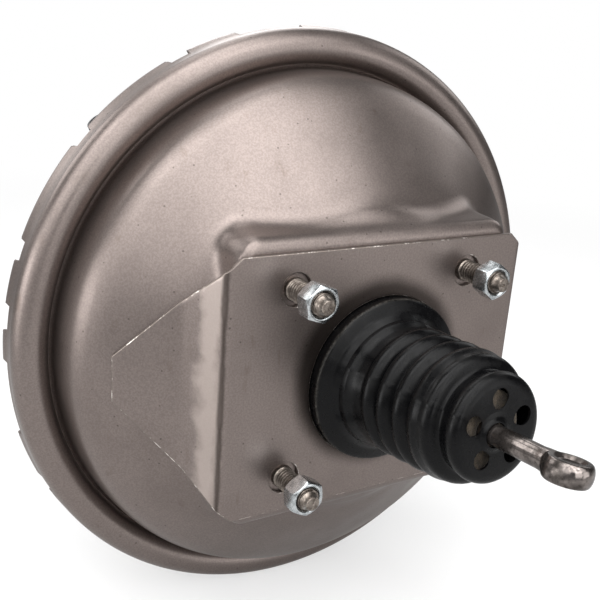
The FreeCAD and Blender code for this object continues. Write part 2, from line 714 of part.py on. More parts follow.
for side in (-1, 1):
    flare = Part.makeCone(eye_bore_radius, eye_bore_radius + eye_chamfer * 1.5, eye_chamfer,
                          V(0, eye_centre_s, side * (half_eye - eye_chamfer)), V(0, 0, side))
    rod = rod.cut(flare)
rod.rotate(ORIGIN, Y_AXIS, eye_roll_deg)
save(tilted(rod, rod_tilt_deg), "push_rod")
felt_rear_s = boot_face_s + 3.2
felt = ring(rod_radius + thread_gap, boot_cap_radius - 3.1, felt_rear_s, felt_rear_s + 6.1)
save(tilted(felt, rod_tilt_deg), "silencer_felt")

# Dust boot: flange and first length on the axis, the bellows and the cap on the tilted line.
root_radius = collar_outer_radius + 0.3
flange_seat_y = platform_face_y - seat_clearance
flange_line = [(root_radius, flange_seat_y), (boot_flange_radius - 0.8, flange_seat_y)]
flange_line += [(boot_flange_radius - 0.3, -2.6)]
flange_line += [(boot_flange_radius, -4.6), (boot_flange_radius - 0.4, -5.4), (33.0, -8.6), (29.4, -12.8)]
flange_line += [(27.6, -15.5), (26.4, -21.0), (25.9, -22.0)]
flange_in = [(24.4, -22.0), (24.8, -20.4), (26.0, -13.4), (27.2, -10.4), (collar_outer_radius + 1.5, -8.8)]
flange_in += [(collar_outer_radius + 1.5, -6.0), (root_radius, -6.0)]
boot_root = turned(flange_line + flange_in)
crests = [(-24.7, 26.5), (-34.0, 26.2), (-44.2, 26.3), (-55.3, 27.0)]
bellows = [(25.6, -21.2)]
for s, r in crests[:3]:
    bellows += [(r - 0.9, s + 2.0), (r, s), (r - 0.9, s - 1.9)]
    bellows += [(22.3, s - 3.4), (21.9, s - 5.0), (22.6, s - 6.6)]
bellows += [(26.1, -53.2), (27.0, -55.3), (26.6, -57.2), (25.2, -58.4), (25.0, -60.6), (24.0, -61.9)]
cap = boot_cap_radius
bellows += [(cap - 0.1, boot_face_s + 9.6), (cap - 0.9, boot_face_s + 8.4), (cap - 0.4, boot_face_s + 6.8)]
bellows += [(cap, boot_face_s + 4.8), (cap - 0.2, boot_face_s + 2.2), (cap - 1.3, boot_face_s + 0.6)]
bellows += [(cap - 3.1, boot_face_s)]
crown_s = boot_face_s - boot_face_crown
lip_s = crown_s - boot_lip_height
bellows += [(boot_hole_radius + 7.5, boot_face_s - 0.9), (boot_hole_radius + 2.9, crown_s)]
bellows += [(boot_hole_radius + 2.3, lip_s)]
inside = beside(bellows, -boot_wall)
mouth_line = [(boot_hole_radius, lip_s), (boot_hole_radius, crown_s + boot_wall)]
boot_skin = tilted(turned(bellows + mouth_line + inside[-3::-1]), boot_tilt_deg)
for i in range(vent_count):
    turn = math.radians(90 + 360 * i / vent_count)
    vent_x = vent_circle_radius * math.cos(turn)
    vent_z = vent_circle_radius * math.sin(turn)
    hole = rod_y(vent_radius, lip_s - past, boot_face_s + boot_wall + 0.5, vent_x, vent_z)
    boot_skin = boot_skin.cut(tilted(hole, boot_tilt_deg))
save(boot_root.fuse(boot_skin), "dust_boot")

# Vacuum check valve in its grommet
grommet_top_y = front_ring_y + grommet_height
grommet_fit_radius = grommet_hole_radius - seat_clearance
grommet_back_y = front_ring_y - shell_wall - end_gap
grommet = turned([
    (stem_radius, grommet_back_y - 2.3),
    (grommet_hole_radius + 1.1, grommet_back_y - 2.3),
    (grommet_hole_radius + 2.5, grommet_back_y),
    (grommet_fit_radius, grommet_back_y),
    (grommet_fit_radius, front_ring_y + seat_clearance),
    (grommet_flange_radius, front_ring_y + seat_clearance),
    (grommet_flange_radius, grommet_top_y - 1.0),
    (grommet_flange_radius - 1.6, grommet_top_y),
    (stem_radius, grommet_top_y),
])
save(moved(grommet, valve_x, 0, valve_z), "vacuum_grommet")
valve_body_y = grommet_top_y + end_gap
stem_fit_radius = stem_radius - running_gap
valve_body = turned([
    (valve_passage_radius, valve_body_y - 11.2),
    (stem_fit_radius, valve_body_y - 11.2),
    (stem_fit_radius, valve_body_y),
    (valve_body_radius, valve_body_y),
    (valve_body_radius, valve_body_end_y),
    (valve_chamber_radius, valve_body_end_y),
    (valve_chamber_radius, valve_chamber_y),
    (valve_passage_radius, valve_chamber_y),
])
save(moved(valve_body, valve_x, 0, valve_z), "check_valve_body")
cap_y = valve_body_end_y + seat_clearance
cap_roof_y = valve_cap_end_y - 3.0
cap_outer = turned([
    (0, cap_y),
    (valve_body_radius, cap_y),
    (valve_body_radius, cap_y + 1.95),
    (valve_body_radius - 0.9, cap_y + 2.95),
    (valve_body_radius - 2.9, valve_cap_end_y - 1.5),
    (valve_body_radius - 4.3, valve_cap_end_y),
    (0, valve_cap_end_y),
])
cap_inner = turned([
    (0, valve_body_end_y),
    (valve_chamber_radius, valve_body_end_y),
    (valve_chamber_radius - 1.0, valve_body_end_y + 3.0),
    (check_disc_radius, cap_roof_y),
    (0, cap_roof_y),
])
nipple_turn = math.radians(nipple_angle_deg)
out = V(math.cos(nipple_turn), 0, math.sin(nipple_turn))
base = V(0, nipple_axis_y, 0)
nipple = Part.makeCylinder(nipple_radius, nipple_length, base, out)
for start in (nipple_length - 18.0, nipple_length - 11.0, nipple_length - 4.0):
    nipple = nipple.fuse(Part.makeCylinder(nipple_crest_radius, 2.0, base + out * start, out))
    barb_start = base + out * (start + 2.0)
    nipple = nipple.fuse(Part.makeCone(nipple_crest_radius, nipple_radius, 2.0, barb_start, out))
nipple_bore = Part.makeCylinder(nipple_bore_radius, nipple_length + past, base, out)
valve_cap = cap_outer.fuse(nipple).cut(cap_inner).cut(nipple_bore)
save(moved(valve_cap, valve_x, 0, valve_z), "check_valve_cap")
check_disc_y = valve_chamber_y + 0.02
check_disc_top = check_disc_y + check_disc_height
save(moved(ring(0, check_disc_radius, check_disc_y, check_disc_top), valve_x, 0, valve_z), "check_valve_disc")
check_coil = coil(4.4, 0.45, check_disc_top + seat_clearance, cap_roof_y - seat_clearance, 5.0)
save(moved(check_coil, valve_x, 0, valve_z), "check_valve_spring")
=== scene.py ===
"""Looks of an eleven inch vacuum brake booster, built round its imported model.

Sizes in the classes are in millimetres in the model's own frame: Y runs forward along the booster's
axis, Z is up, and the pedal is on the -Y side. Meshes are in metres.
"""
import logging
import math
from dataclasses import dataclass, field
from enum import Enum
from typing import Callable, Sequence

import bpy
import numpy as np
from mathutils import Euler, Matrix, Vector


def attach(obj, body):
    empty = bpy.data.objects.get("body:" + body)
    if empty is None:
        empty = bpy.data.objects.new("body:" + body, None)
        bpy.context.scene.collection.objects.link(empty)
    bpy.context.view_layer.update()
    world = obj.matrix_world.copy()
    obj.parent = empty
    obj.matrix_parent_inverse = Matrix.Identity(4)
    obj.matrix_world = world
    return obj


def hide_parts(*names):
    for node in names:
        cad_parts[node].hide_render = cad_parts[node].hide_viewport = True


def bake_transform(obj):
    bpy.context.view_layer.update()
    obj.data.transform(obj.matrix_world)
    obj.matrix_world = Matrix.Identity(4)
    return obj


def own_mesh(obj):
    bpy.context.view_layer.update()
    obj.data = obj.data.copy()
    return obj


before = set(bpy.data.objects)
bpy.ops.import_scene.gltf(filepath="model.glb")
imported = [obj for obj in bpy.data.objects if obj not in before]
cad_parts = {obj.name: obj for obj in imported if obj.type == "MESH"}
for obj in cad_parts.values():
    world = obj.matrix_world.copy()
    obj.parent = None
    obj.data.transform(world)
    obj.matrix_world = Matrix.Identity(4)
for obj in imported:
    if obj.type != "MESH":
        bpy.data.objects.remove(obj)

LOG = logging.getLogger("brake_booster")
MM = 0.001

Point = tuple[float, float]
Colour = tuple[float, float, float, float]
Rule = Callable[[np.ndarray], np.ndarray]
Object = bpy.types.Object
Socket = bpy.types.NodeSocket

WHITE: Colour = (1.0, 1.0, 1.0, 1.0)
BLACK: Colour = (0.0, 0.0, 0.0, 1.0)

# Places that several pieces share, as (x, z) in millimetres.
STUD_PLACES: tuple[Point, ...] = ((-45.0, 42.5), (45.0, 42.5), (-45.0, -42.5), (45.0, -42.5))
CYLINDER_STUD_X = 42.8625
VALVE_PLACE: Point = (-52.7, 62.8)
BOOT_PLACE: Point = (2.2, -2.6)


class Body(str, Enum):
    """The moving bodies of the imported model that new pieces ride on."""

    HOUSING = "housing"
    PISTON = "power_piston"
    AIR_VALVE = "air_valve"
    POPPET = "poppet"
    PUSH_ROD = "push_rod"
    CHECK_VALVE = "check_valve"


class Slot(str, Enum):
    """The record's material slots, which each new piece names."""

    SHELL = "shell_steel"
    STUD = "stud_steel"
    ZINC = "zinc_nut"
    ROD = "rod_steel"
    SPRING = "spring_steel"
    BOOT = "boot_rubber"
    SEAL = "seal_rubber"
    VALVE = "valve_plastic"
    FELT = "felt"


# Materials

SOFT = {"interpolation_type": "SMOOTHSTEP"}
COLOURS = {"data_type": "RGBA"}
PLUS = {"operation": "ADD"}
MINUS = {"operation": "SUBTRACT"}
TIMES = {"operation": "MULTIPLY"}
MOST = {"operation": "MAXIMUM"}


def srgb(code: str) -> Colour:
    """A linear colour from an sRGB hex value.

    Args:
        code: Six hex digits after a hash.

    Returns:
        Red, green, blue and alpha, linear.
    """
    parts = []
    for i in (1, 3, 5):
        c = int(code[i:i + 2], 16) / 255.0
        parts.append(c / 12.92 if c <= 0.04045 else ((c + 0.055) / 1.055) ** 2.4)
    return (parts[0], parts[1], parts[2], 1.0)


def per_mm(size: float) -> float:
    """The texture scale whose pattern repeats about every so many millimetres."""
    return 1.0 / (size * MM)


def feed(tree: bpy.types.NodeTree, node: bpy.types.Node, sockets: dict) -> None:
    """Sets a node's inputs.

    Args:
        tree: The tree that holds the node.
        node: The node.
        sockets: Input name or number, to a value or to the socket that feeds it.
    """
    for key, value in sockets.items():
        if isinstance(value, Socket):
            tree.links.new(value, node.inputs[key])
        else:
            node.inputs[key].default_value = value


def add_node(tree: bpy.types.NodeTree, kind: str, sockets: dict | None = None,
             settings: dict | None = None) -> bpy.types.Node:
    """Adds one shader node with its settings, values and links.

    Args:
        tree: The node tree it goes in.
        kind: The node's type, without its ShaderNode prefix.
        sockets: Input name or number, to a value or to the socket that feeds it.
        settings: Properties of the node.

    Returns:
        The new node.
    """
    node = tree.nodes.new("ShaderNode" + kind)
    for key, value in (settings or {}).items():
        setattr(node, key, value)
    feed(tree, node, sockets or {})
    return node


class Weave:
    """A material's node tree while it is put together."""

    def __init__(self, name: str) -> None:
        """Starts a new material with a Principled shader.

        Args:
            name: The material's name.
        """
        self.material = bpy.data.materials.new(name)
        self.material.use_nodes = True
        self.tree = self.material.node_tree
        self.shader = self.tree.nodes["Principled BSDF"]
        self.place = add_node(self.tree, "TexCoord").outputs["Object"]

    def add(self, kind: str, sockets: dict, settings: dict | None = None, output: str | int = 0) -> Socket:
        """Adds one node, which reads the piece's Object coordinates where it needs a place and has none.

        Args:
            kind: The node's type, without its ShaderNode prefix.
            sockets: Input name or number, to a value or to the socket that feeds it.
            settings: Properties of the node.
            output: The output that is wanted, by name or number.

        Returns:
            That output of the new node.
        """
        if kind in ("TexNoise", "TexVoronoi", "Mapping"):
            sockets = {"Vector": self.place, **sockets}
        return add_node(self.tree, kind, sockets, settings).outputs[output]

    def away(self, centre: Sequence[float], flat: Sequence[float]) -> Socket:
        """Distance in millimetres from a point, with an axis ignored where its factor is zero."""
        moved = self.add("Mapping", {
            "Location": [-c * f for c, f in zip(centre, flat)], "Scale": [f / MM for f in flat]})
        return self.add("VectorMath", {0: moved}, {"operation": "LENGTH"}, "Value")

    def finish(self, colour: Socket | Colour, metallic: float, roughness: Socket | float, normal: Socket,
               **extra: float) -> bpy.types.Material:
        """Sets the shader's sockets and returns the material.

        Args:
            colour: A colour or its socket.
            metallic: How metallic the surface is.
            roughness: A number or its socket.
            normal: The bumped normal's socket.
            **extra: Other sockets of the shader, with spaces as underscores.

        Returns:
            The finished material.
        """
        sockets = {"Base Color": colour, "Metallic": metallic, "Roughness": roughness, "Normal": normal}
        sockets.update({key.replace("_", " "): value for key, value in extra.items()})
        feed(self.tree, self.shader, sockets)
        return self.material


@dataclass(frozen=True)
class PhosphatedSteel:
    """Mild steel pressed from sheet and zinc phosphated.

    The crystals scatter light, so it is a warm grey satin with a fine speckle, and handling leaves
    small pits, faint scratches and patches that are a little darker or shinier. Grain, cloud, patch,
    streak, pit spacing and scratch are in millimetres. A halo is a ring of painted shade, on the plate
    with a greasy film in it: x, z, inner and outer radius in mm. A band is a painted stripe of light or
    shade up and down on both sides: its distance from the middle and half its width in mm, its strength
    and its colour.
    """

    name: str = "phosphated_steel"
    light: str = "#968a84"
    middle: str = "#7e7470"
    dark: str = "#625955"
    stain: str = "#54463b"
    dark_halo: str = "#241e1b"
    pit_colour: str = "#3a332f"
    metallic: float = 0.92
    roughness: float = 0.37
    grain: float = 0.8
    cloud: float = 38.0
    patch: float = 9.0
    streak: float = 7.0
    pit_spacing: float = 7.0
    scratch: float = 1.3
    evenness: float = 0.72
    halo_strength: float = 0.85
    halo_raggedness: float = 2.0
    halos: tuple[tuple[float, float, float, float], ...] = ()
    painted_bands: tuple[tuple[float, float, float, str], ...] = ()

    def build(self) -> bpy.types.Material:
        """The material, with its rings of painted shade and its painted stripes of light and shade, where they
        are told.

        Returns:
            The finished material.
        """
        weave = Weave(self.name)
        # The crystals are tens of microns across and are drawn about a millimetre wide, so that they show.
        speckle = weave.add("TexNoise", {"Scale": per_mm(self.grain), "Detail": 3.0, "Roughness": 0.65})
        cloud = weave.add("TexNoise", {"Scale": per_mm(self.cloud), "Detail": 3.0, "Roughness": 0.55})
        patch = weave.add("TexNoise", {"Scale": per_mm(self.patch), "Detail": 2.0, "Roughness": 0.5})
        fine = weave.add("MapRange", {0: speckle, 1: 0.36, 2: 0.66}, SOFT)
        dim = weave.add("MapRange", {0: cloud, 1: 0.45, 2: 0.75, 4: 0.25}, SOFT)
        upright = weave.add("Mapping", {"Scale": (1.0, 1.0, 0.14)})
        streak = weave.add("TexNoise", {
            "Vector": upright, "Scale": per_mm(self.streak), "Detail": 3.0, "Roughness": 0.6})
        stained = weave.add("Math", {
            0: weave.add("MapRange", {0: streak, 1: 0.55, 2: 0.75}, SOFT),
            1: weave.add("MapRange", {0: patch, 1: 0.5, 2: 0.7, 4: 0.35}, SOFT)}, TIMES)
        spots = weave.add("TexVoronoi", {"Scale": per_mm(self.pit_spacing), "Randomness": 1.0})
        pit = weave.add("MapRange", {0: spots, 1: 0.045, 2: 0.085, 3: 1.0, 4: 0.0}, SOFT)
        layers = [
            (self.evenness, self.middle), (dim, self.dark), (stained, self.stain),
            (weave.add("Math", {0: pit, 1: 0.55}, TIMES), self.pit_colour)]
        ragged = weave.add("MapRange", {
            0: cloud, 1: 0.2, 2: 0.8, 3: -self.halo_raggedness, 4: self.halo_raggedness})
        # Each halo is a ring of painted shade, with a greasy film in it on the plate.
        for x, z, inner, outer in self.halos:
            near = weave.away((x * MM, 0.0, z * MM), (1.0, 0.0, 1.0))
            near = weave.add("Math", {0: near, 1: ragged}, PLUS)
            dark_halo = weave.add("MapRange", {0: near, 1: inner, 2: outer, 3: self.halo_strength, 4: 0.0}, SOFT)
            layers.append((dark_halo, self.dark_halo))
        across = weave.away((0.0, 0.0, 0.0), (1.0, 0.0, 0.0))
        # Each band is a painted stripe: a highlight where its colour is pale, shade where it is dark.
        for middle, half, strength, colour in self.painted_bands:
            off = weave.add("Math", {0: across, 1: middle}, MINUS)
            off = weave.add("Math", {0: off}, {"operation": "ABSOLUTE"})
            uneven = weave.add("MapRange", {0: patch, 1: 0.2, 2: 0.8, 3: -0.35 * half, 4: 0.35 * half})
            off = weave.add("Math", {0: off, 1: uneven}, PLUS)
            strip = weave.add("MapRange", {0: off, 1: 0.2 * half, 2: half, 3: strength, 4: 0.0}, SOFT)
            layers.append((strip, colour))
        base = weave.add("Mix", {0: fine, 6: srgb(self.dark), 7: srgb(self.light)}, COLOURS, 2)
        for share, colour in layers:
            base = weave.add("Mix", {0: share, 6: base, 7: srgb(colour)}, COLOURS, 2)
        rough = weave.add("MapRange", {
            0: cloud, 1: 0.3, 2: 0.7, 3: self.roughness - 0.04, 4: self.roughness + 0.05}, SOFT)
        level = weave.add("Mapping", {"Scale": (0.05, 1.0, 1.0)})
        scratch = weave.add("TexNoise", {
            "Vector": level, "Scale": per_mm(self.scratch), "Detail": 1.0, "Roughness": 0.3})
        height = weave.add("Math", {0: weave.add("Math", {0: speckle, 1: 0.6}, TIMES), 1: pit}, MINUS)
        height = weave.add("Math", {
            0: height, 1: weave.add("MapRange", {0: scratch, 1: 0.70, 2: 0.78, 4: 0.3}, SOFT)}, PLUS)
        normal = weave.add("Bump", {"Height": height, "Strength": 0.28, "Distance": 0.05 * MM})
        return weave.finish(base, self.metallic, rough, normal)


@dataclass(frozen=True)
class WornEdge:
    """The same steel where handling has polished its sheared edge, so it is brighter in broken lengths."""

    name: str = "worn_sheet_edge"
    dull: str = "#7c736d"
    bright: str = "#dcd5ce"
    metallic: float = 0.9
    chip: float = 5.0

    def build(self) -> bpy.types.Material:
        """The material.

        Returns:
            The finished material.
        """
        weave = Weave(self.name)
        chips = weave.add("TexNoise", {"Scale": per_mm(self.chip), "Detail": 3.0, "Roughness": 0.7})
        share = weave.add("MapRange", {0: chips, 1: 0.50, 2: 0.64}, SOFT)
        colour = weave.add("Mix", {0: share, 6: srgb(self.dull), 7: srgb(self.bright)}, COLOURS, 2)
        rough = weave.add("MapRange", {0: chips, 1: 0.45, 2: 0.6, 3: 0.42, 4: 0.30}, SOFT)
        normal = weave.add("Bump", {"Height": chips, "Strength": 0.3, "Distance": 0.1 * MM})
        return weave.finish(colour, self.metallic, rough, normal)


@dataclass(frozen=True)
class ZincPlate:
    """Nuts with bright zinc plating and a clear blue passivation: cool, shiny, with faint handling marks."""

    name: str = "blue_zinc_plate"
    light: str = "#c6cacc"
    dark: str = "#9fa4a6"
    cloud: float = 2.6
    smear: float = 0.9
    grain: float = 0.5

    def build(self) -> bpy.types.Material:
        """The material.

        Returns:
            The finished material.
        """
        weave = Weave(self.name)
        cloud = weave.add("TexNoise", {"Scale": per_mm(self.cloud), "Detail": 3.0, "Roughness": 0.6})
        share = weave.add("MapRange", {0: cloud, 1: 0.35, 2: 0.7}, SOFT)
        colour = weave.add("Mix", {0: share, 6: srgb(self.light), 7: srgb(self.dark)}, COLOURS, 2)
        smear = weave.add("TexNoise", {"Scale": per_mm(self.smear), "Detail": 2.0, "Roughness": 0.6})
        rough = weave.add("MapRange", {0: smear, 1: 0.3, 2: 0.7, 3: 0.20, 4: 0.30}, SOFT)
        grain = weave.add("TexNoise", {"Scale": per_mm(self.grain), "Detail": 2.0, "Roughness": 0.5})
        normal = weave.add("Bump", {"Height": grain, "Strength": 0.06, "Distance": 0.04 * MM})
        return weave.finish(colour, 1.0, rough, normal)


@dataclass(frozen=True)
class BareSteel:
    """Turned, forged or drawn steel with an old greasy film, and brownish painted shade in its hollows."""

    name: str
    light: str
    dark: str
    film: str
    roughness: float
    cloud: float = 3.0
    bumpiness: float = 0.25
    root_shade: str = "#2a221d"
    metallic: float = 0.92

    def build(self) -> bpy.types.Material:
        """The material, with painted shade where its root_shade attribute is high, as in the roots of a thread.

        Returns:
            The finished material.
        """
        weave = Weave(self.name)
        cloud = weave.add("TexNoise", {"Scale": per_mm(self.cloud), "Detail": 4.0, "Roughness": 0.6})
        fine = weave.add("TexNoise", {"Scale": per_mm(self.cloud * 0.25), "Detail": 3.0, "Roughness": 0.7})
        root_shade = weave.add("Attribute", {}, {"attribute_name": "root_shade"}, "Fac")
        colour = weave.add("Mix", {
            0: weave.add("MapRange", {0: cloud, 1: 0.35, 2: 0.68}, SOFT),
            6: srgb(self.light), 7: srgb(self.dark)}, COLOURS, 2)
        layers = (
            (weave.add("MapRange", {0: fine, 1: 0.52, 2: 0.72, 4: 0.6}, SOFT), self.film),
            (weave.add("Math", {0: root_shade, 1: 0.8}, TIMES), self.root_shade))
        for share, over in layers:
            colour = weave.add("Mix", {0: share, 6: colour, 7: srgb(over)}, COLOURS, 2)
        rough = weave.add("MapRange", {
            0: cloud, 1: 0.3, 2: 0.7, 3: self.roughness - 0.08, 4: self.roughness + 0.12}, SOFT)
        normal = weave.add("Bump", {"Height": fine, "Strength": self.bumpiness, "Distance": 0.08 * MM})
        return weave.finish(colour, self.metallic, rough, normal)


@dataclass(frozen=True)
class MouldedRubber:
    """Natural or EPDM rubber, compression moulded: near black, satin, with pale dust on what stands proud."""

    name: str
    colour: str = "#070708"
    dust: str = "#66625c"
    roughness: float = 0.26
    gloss: float = 0.14
    cloud: float = 6.0
    grain: float = 0.8
    wear: float = 1.6

    def build(self) -> bpy.types.Material:
        """The material, dusty where its dust attribute is high.

        Returns:
            The finished material.
        """
        weave = Weave(self.name)
        cloud = weave.add("TexNoise", {"Scale": per_mm(self.cloud), "Detail": 3.0, "Roughness": 0.6})
        grain = weave.add("TexNoise", {"Scale": per_mm(self.grain), "Detail": 2.0, "Roughness": 0.6})
        wear = weave.add("TexNoise", {"Scale": per_mm(self.wear), "Detail": 4.0, "Roughness": 0.75})
        dust = weave.add("Attribute", {}, {"attribute_name": "dust"}, "Fac")
        broken = weave.add("Math", {
            0: dust, 1: weave.add("MapRange", {0: wear, 1: 0.42, 2: 0.72, 3: 0.15, 4: 1.0}, SOFT)}, TIMES)
        amount = weave.add("Math", {
            0: weave.add("Math", {0: broken, 1: 0.45}, TIMES),
            1: weave.add("MapRange", {0: cloud, 1: 0.5, 2: 0.8, 4: 0.012}, SOFT)}, PLUS)
        colour = weave.add("Mix", {0: amount, 6: srgb(self.colour), 7: srgb(self.dust)}, COLOURS, 2)
        rough = weave.add("MapRange", {
            0: cloud, 1: 0.3, 2: 0.7, 3: self.roughness - 0.05, 4: self.roughness + 0.08}, SOFT)
        normal = weave.add("Bump", {"Height": grain, "Strength": 0.14, "Distance": 0.05 * MM})
        return weave.finish(colour, 0.0, rough, normal, Specular_IOR_Level=self.gloss)


@dataclass(frozen=True)
class MouldedPlastic:
    """Injection moulded plastic, with a fine orange peel and slightly uneven gloss."""

    name: str
    colour: str
    shade: str
    roughness: float = 0.38
    cloud: float = 5.0
    peel: float = 0.9

    def build(self) -> bpy.types.Material:
        """The material.

        Returns:
            The finished material.
        """
        weave = Weave(self.name)
        cloud = weave.add("TexNoise", {"Scale": per_mm(self.cloud), "Detail": 3.0, "Roughness": 0.55})
        peel = weave.add("TexNoise", {"Scale": per_mm(self.peel), "Detail": 2.0, "Roughness": 0.5})
        share = weave.add("MapRange", {0: cloud, 1: 0.35, 2: 0.7}, SOFT)
        colour = weave.add("Mix", {0: share, 6: srgb(self.colour), 7: srgb(self.shade)}, COLOURS, 2)
        rough = weave.add("MapRange", {
            0: cloud, 1: 0.3, 2: 0.7, 3: self.roughness - 0.05, 4: self.roughness + 0.08}, SOFT)
        normal = weave.add("Bump", {"Height": peel, "Strength": 0.15, "Distance": 0.04 * MM})
        return weave.finish(colour, 0.0, rough, normal)


@dataclass(frozen=True)
class PressedFelt:
    """Brown pressed wool felt: matt, with a tangle of fine fibres."""

    name: str = "brown_felt"
    light: str = "#6a5c4a"
    dark: str = "#1f1a14"
    roughness: float = 0.95
    sheen: float = 0.3
    fibre: float = 0.5
    clump: float = 2.2

    def build(self) -> bpy.types.Material:
        """The material.

        Returns:
            The finished material.
        """
        weave = Weave(self.name)
        # Wool fibres are 0.03 mm thick and are drawn ten times as coarse, so that they show.
        fibre = weave.add("TexNoise", {"Scale": per_mm(self.fibre), "Detail": 5.0, "Roughness": 0.8})
        clump = weave.add("TexNoise", {"Scale": per_mm(self.clump), "Detail": 3.0, "Roughness": 0.6})
        both = weave.add("Math", {
            0: weave.add("Math", {0: fibre, 1: 0.7}, TIMES),
            1: weave.add("Math", {0: clump, 1: 0.3}, TIMES)}, PLUS)
        share = weave.add("MapRange", {0: both, 1: 0.35, 2: 0.65}, SOFT)
        colour = weave.add("Mix", {0: share, 6: srgb(self.dark), 7: srgb(self.light)}, COLOURS, 2)
        normal = weave.add("Bump", {"Height": fibre, "Strength": 0.8, "Distance": 0.3 * MM})
        return weave.finish(colour, 0.0, self.roughness, normal, Sheen_Weight=self.sheen)


# Modelling by the same few moves as at the bench

def alone(thing: Object) -> None:
    """Selects one object and nothing else."""
    bpy.ops.object.select_all(action="DESELECT")
    bpy.context.view_layer.objects.active = thing
    thing.select_set(True)


def edit(thing: Object) -> None:
    """Opens one object in edit mode with all of it selected."""
    alone(thing)
    bpy.ops.object.mode_set(mode="EDIT")
    bpy.ops.mesh.select_all(action="SELECT")


def close(thing: Object) -> Object:
    """Leaves edit mode, with doubles merged and faces turned outwards.

    Args:
        thing: The piece, which is open in edit mode.

    Returns:
        The same piece.
    """
    bpy.ops.mesh.select_all(action="SELECT")
    bpy.ops.mesh.remove_doubles(threshold=0.002 * MM)
    bpy.ops.mesh.normals_make_consistent(inside=False)
    bpy.ops.object.mode_set(mode="OBJECT")
    return thing


def applied(thing: Object, kind: str, **settings: object) -> Object:
    """Adds one modifier to a piece and applies it.

    Args:
        thing: The piece.
        kind: The modifier's type.
        **settings: Its properties.

    Returns:
        The same piece.
    """
    alone(thing)
    modifier = thing.modifiers.new(kind.lower(), kind)
    for key, value in settings.items():
        setattr(modifier, key, value)
    bpy.ops.object.modifier_apply(modifier=modifier.name)
    return thing


def smoothed(thing: Object, degrees: float = 32.0) -> Object:
    """Shades a piece smooth, with edges sharper than so many degrees kept crisp."""
    alone(thing)
    bpy.ops.object.shade_smooth_by_angle(angle=math.radians(degrees))
    return thing


def strung(name: str, points: Sequence[Sequence[float]]) -> Object:
    """A new object with one line of edges, left open in edit mode.

    Args:
        name: The piece's name.
        points: The line's points in millimetres, in order.

    Returns:
        The new mesh object.
    """
    bpy.ops.object.select_all(action="DESELECT")
    bpy.ops.mesh.primitive_circle_add(vertices=3, radius=MM, enter_editmode=True)
    thing = bpy.context.object
    thing.name = name
    bpy.ops.mesh.merge(type="CENTER")
    bpy.ops.transform.translate(value=tuple(c * MM for c in points[0]))
    for before, after in zip(points, points[1:]):
        step = tuple((new - old) * MM for old, new in zip(before, after))
        bpy.ops.mesh.extrude_vertices_move(TRANSFORM_OT_translate={"value": step})
    return thing


def turned(name: str, outline: Sequence[Point], steps: int, closed: bool = True) -> Object:
    """A surface turned about the booster's axis.

    Args:
        name: The piece's name.
        outline: Points as (radius, y) in millimetres, in order.
        steps: How many flats make a full turn.
        closed: Whether the last point joins the first.

    Returns:
        The new mesh object.
    """
    thing = strung(name, [(r, y, 0.0) for r, y in outline])
    if closed:
        ends = [Vector((outline[i][0] * MM, outline[i][1] * MM, 0.0)) for i in (0, -1)]
        pick(thing, lambda place: min((place - end).length for end in ends) < 1e-6)
        bpy.ops.mesh.edge_face_add()
    bpy.ops.mesh.select_all(action="SELECT")
    bpy.ops.mesh.spin(steps=steps, angle=math.tau, center=(0.0, 0.0, 0.0), axis=(0.0, 1.0, 0.0))
    return close(thing)


def pick(thing: Object, test: Callable[[Vector], bool]) -> None:
    """Selects the vertices that pass a test, in edit mode.

    Args:
        thing: The piece, which is open in edit mode.
        test: Says of a vertex's place, in metres, whether it is wanted.
    """
    bpy.ops.mesh.select_mode(type="VERT")
    bpy.ops.mesh.select_all(action="DESELECT")
    bpy.ops.object.mode_set(mode="OBJECT")
    for vertex in thing.data.vertices:
        vertex.select = test(vertex.co)
    bpy.ops.object.mode_set(mode="EDIT")


def faced(sheet: Object, face: bpy.types.MeshPolygon, way: Sequence[float]) -> None:
    """Turns an open sheet over if one of its faces looks away from where it should.

    Args:
        sheet: The piece.
        face: The face that tells.
        way: The direction it should look.
    """
    if face.normal.dot(Vector(way)) < 0.0:
        edit(sheet)
        bpy.ops.mesh.flip_normals()
        bpy.ops.object.mode_set(mode="OBJECT")
def rod(name: str, radius: float, length: float, centre: Sequence[float], axis: str = "Y",
        sides: int = 64) -> Object:
    """A plain cylinder to cut with or to build on.

    Args:
        name: The piece's name.
        radius: Its radius in millimetres.
        length: Its length in millimetres.
        centre: Its middle in millimetres.
        axis: X, Y or Z.
        sides: How many flats it has.

    Returns:
        The new mesh object.
    """
    turn = {"X": (0.0, math.pi / 2, 0.0), "Y": (math.pi / 2, 0.0, 0.0), "Z": (0.0, 0.0, 0.0)}[axis]
    bpy.ops.object.select_all(action="DESELECT")
    bpy.ops.mesh.primitive_cylinder_add(vertices=sides, radius=radius * MM, depth=length * MM,
                                        location=[c * MM for c in centre], rotation=turn)
    thing = bpy.context.object
    thing.name = name
    return baked(thing)


def baked(thing: Object) -> Object:
    """Puts a piece's place and turn into its mesh."""
    alone(thing)
    bpy.ops.object.transform_apply(location=True, rotation=True, scale=True)
    return thing


def joined(thing: Object, other: Object, operation: str = "UNION") -> Object:
    """Joins, cuts or crosses a piece with another one, which is used up.

    Args:
        thing: The piece to keep.
        other: The piece to use.
        operation: UNION, DIFFERENCE or INTERSECT.

    Returns:
        The piece that was kept.
    """
    applied(thing, "BOOLEAN", operation=operation, object=other, solver="EXACT")
    bpy.data.objects.remove(other)
    return thing


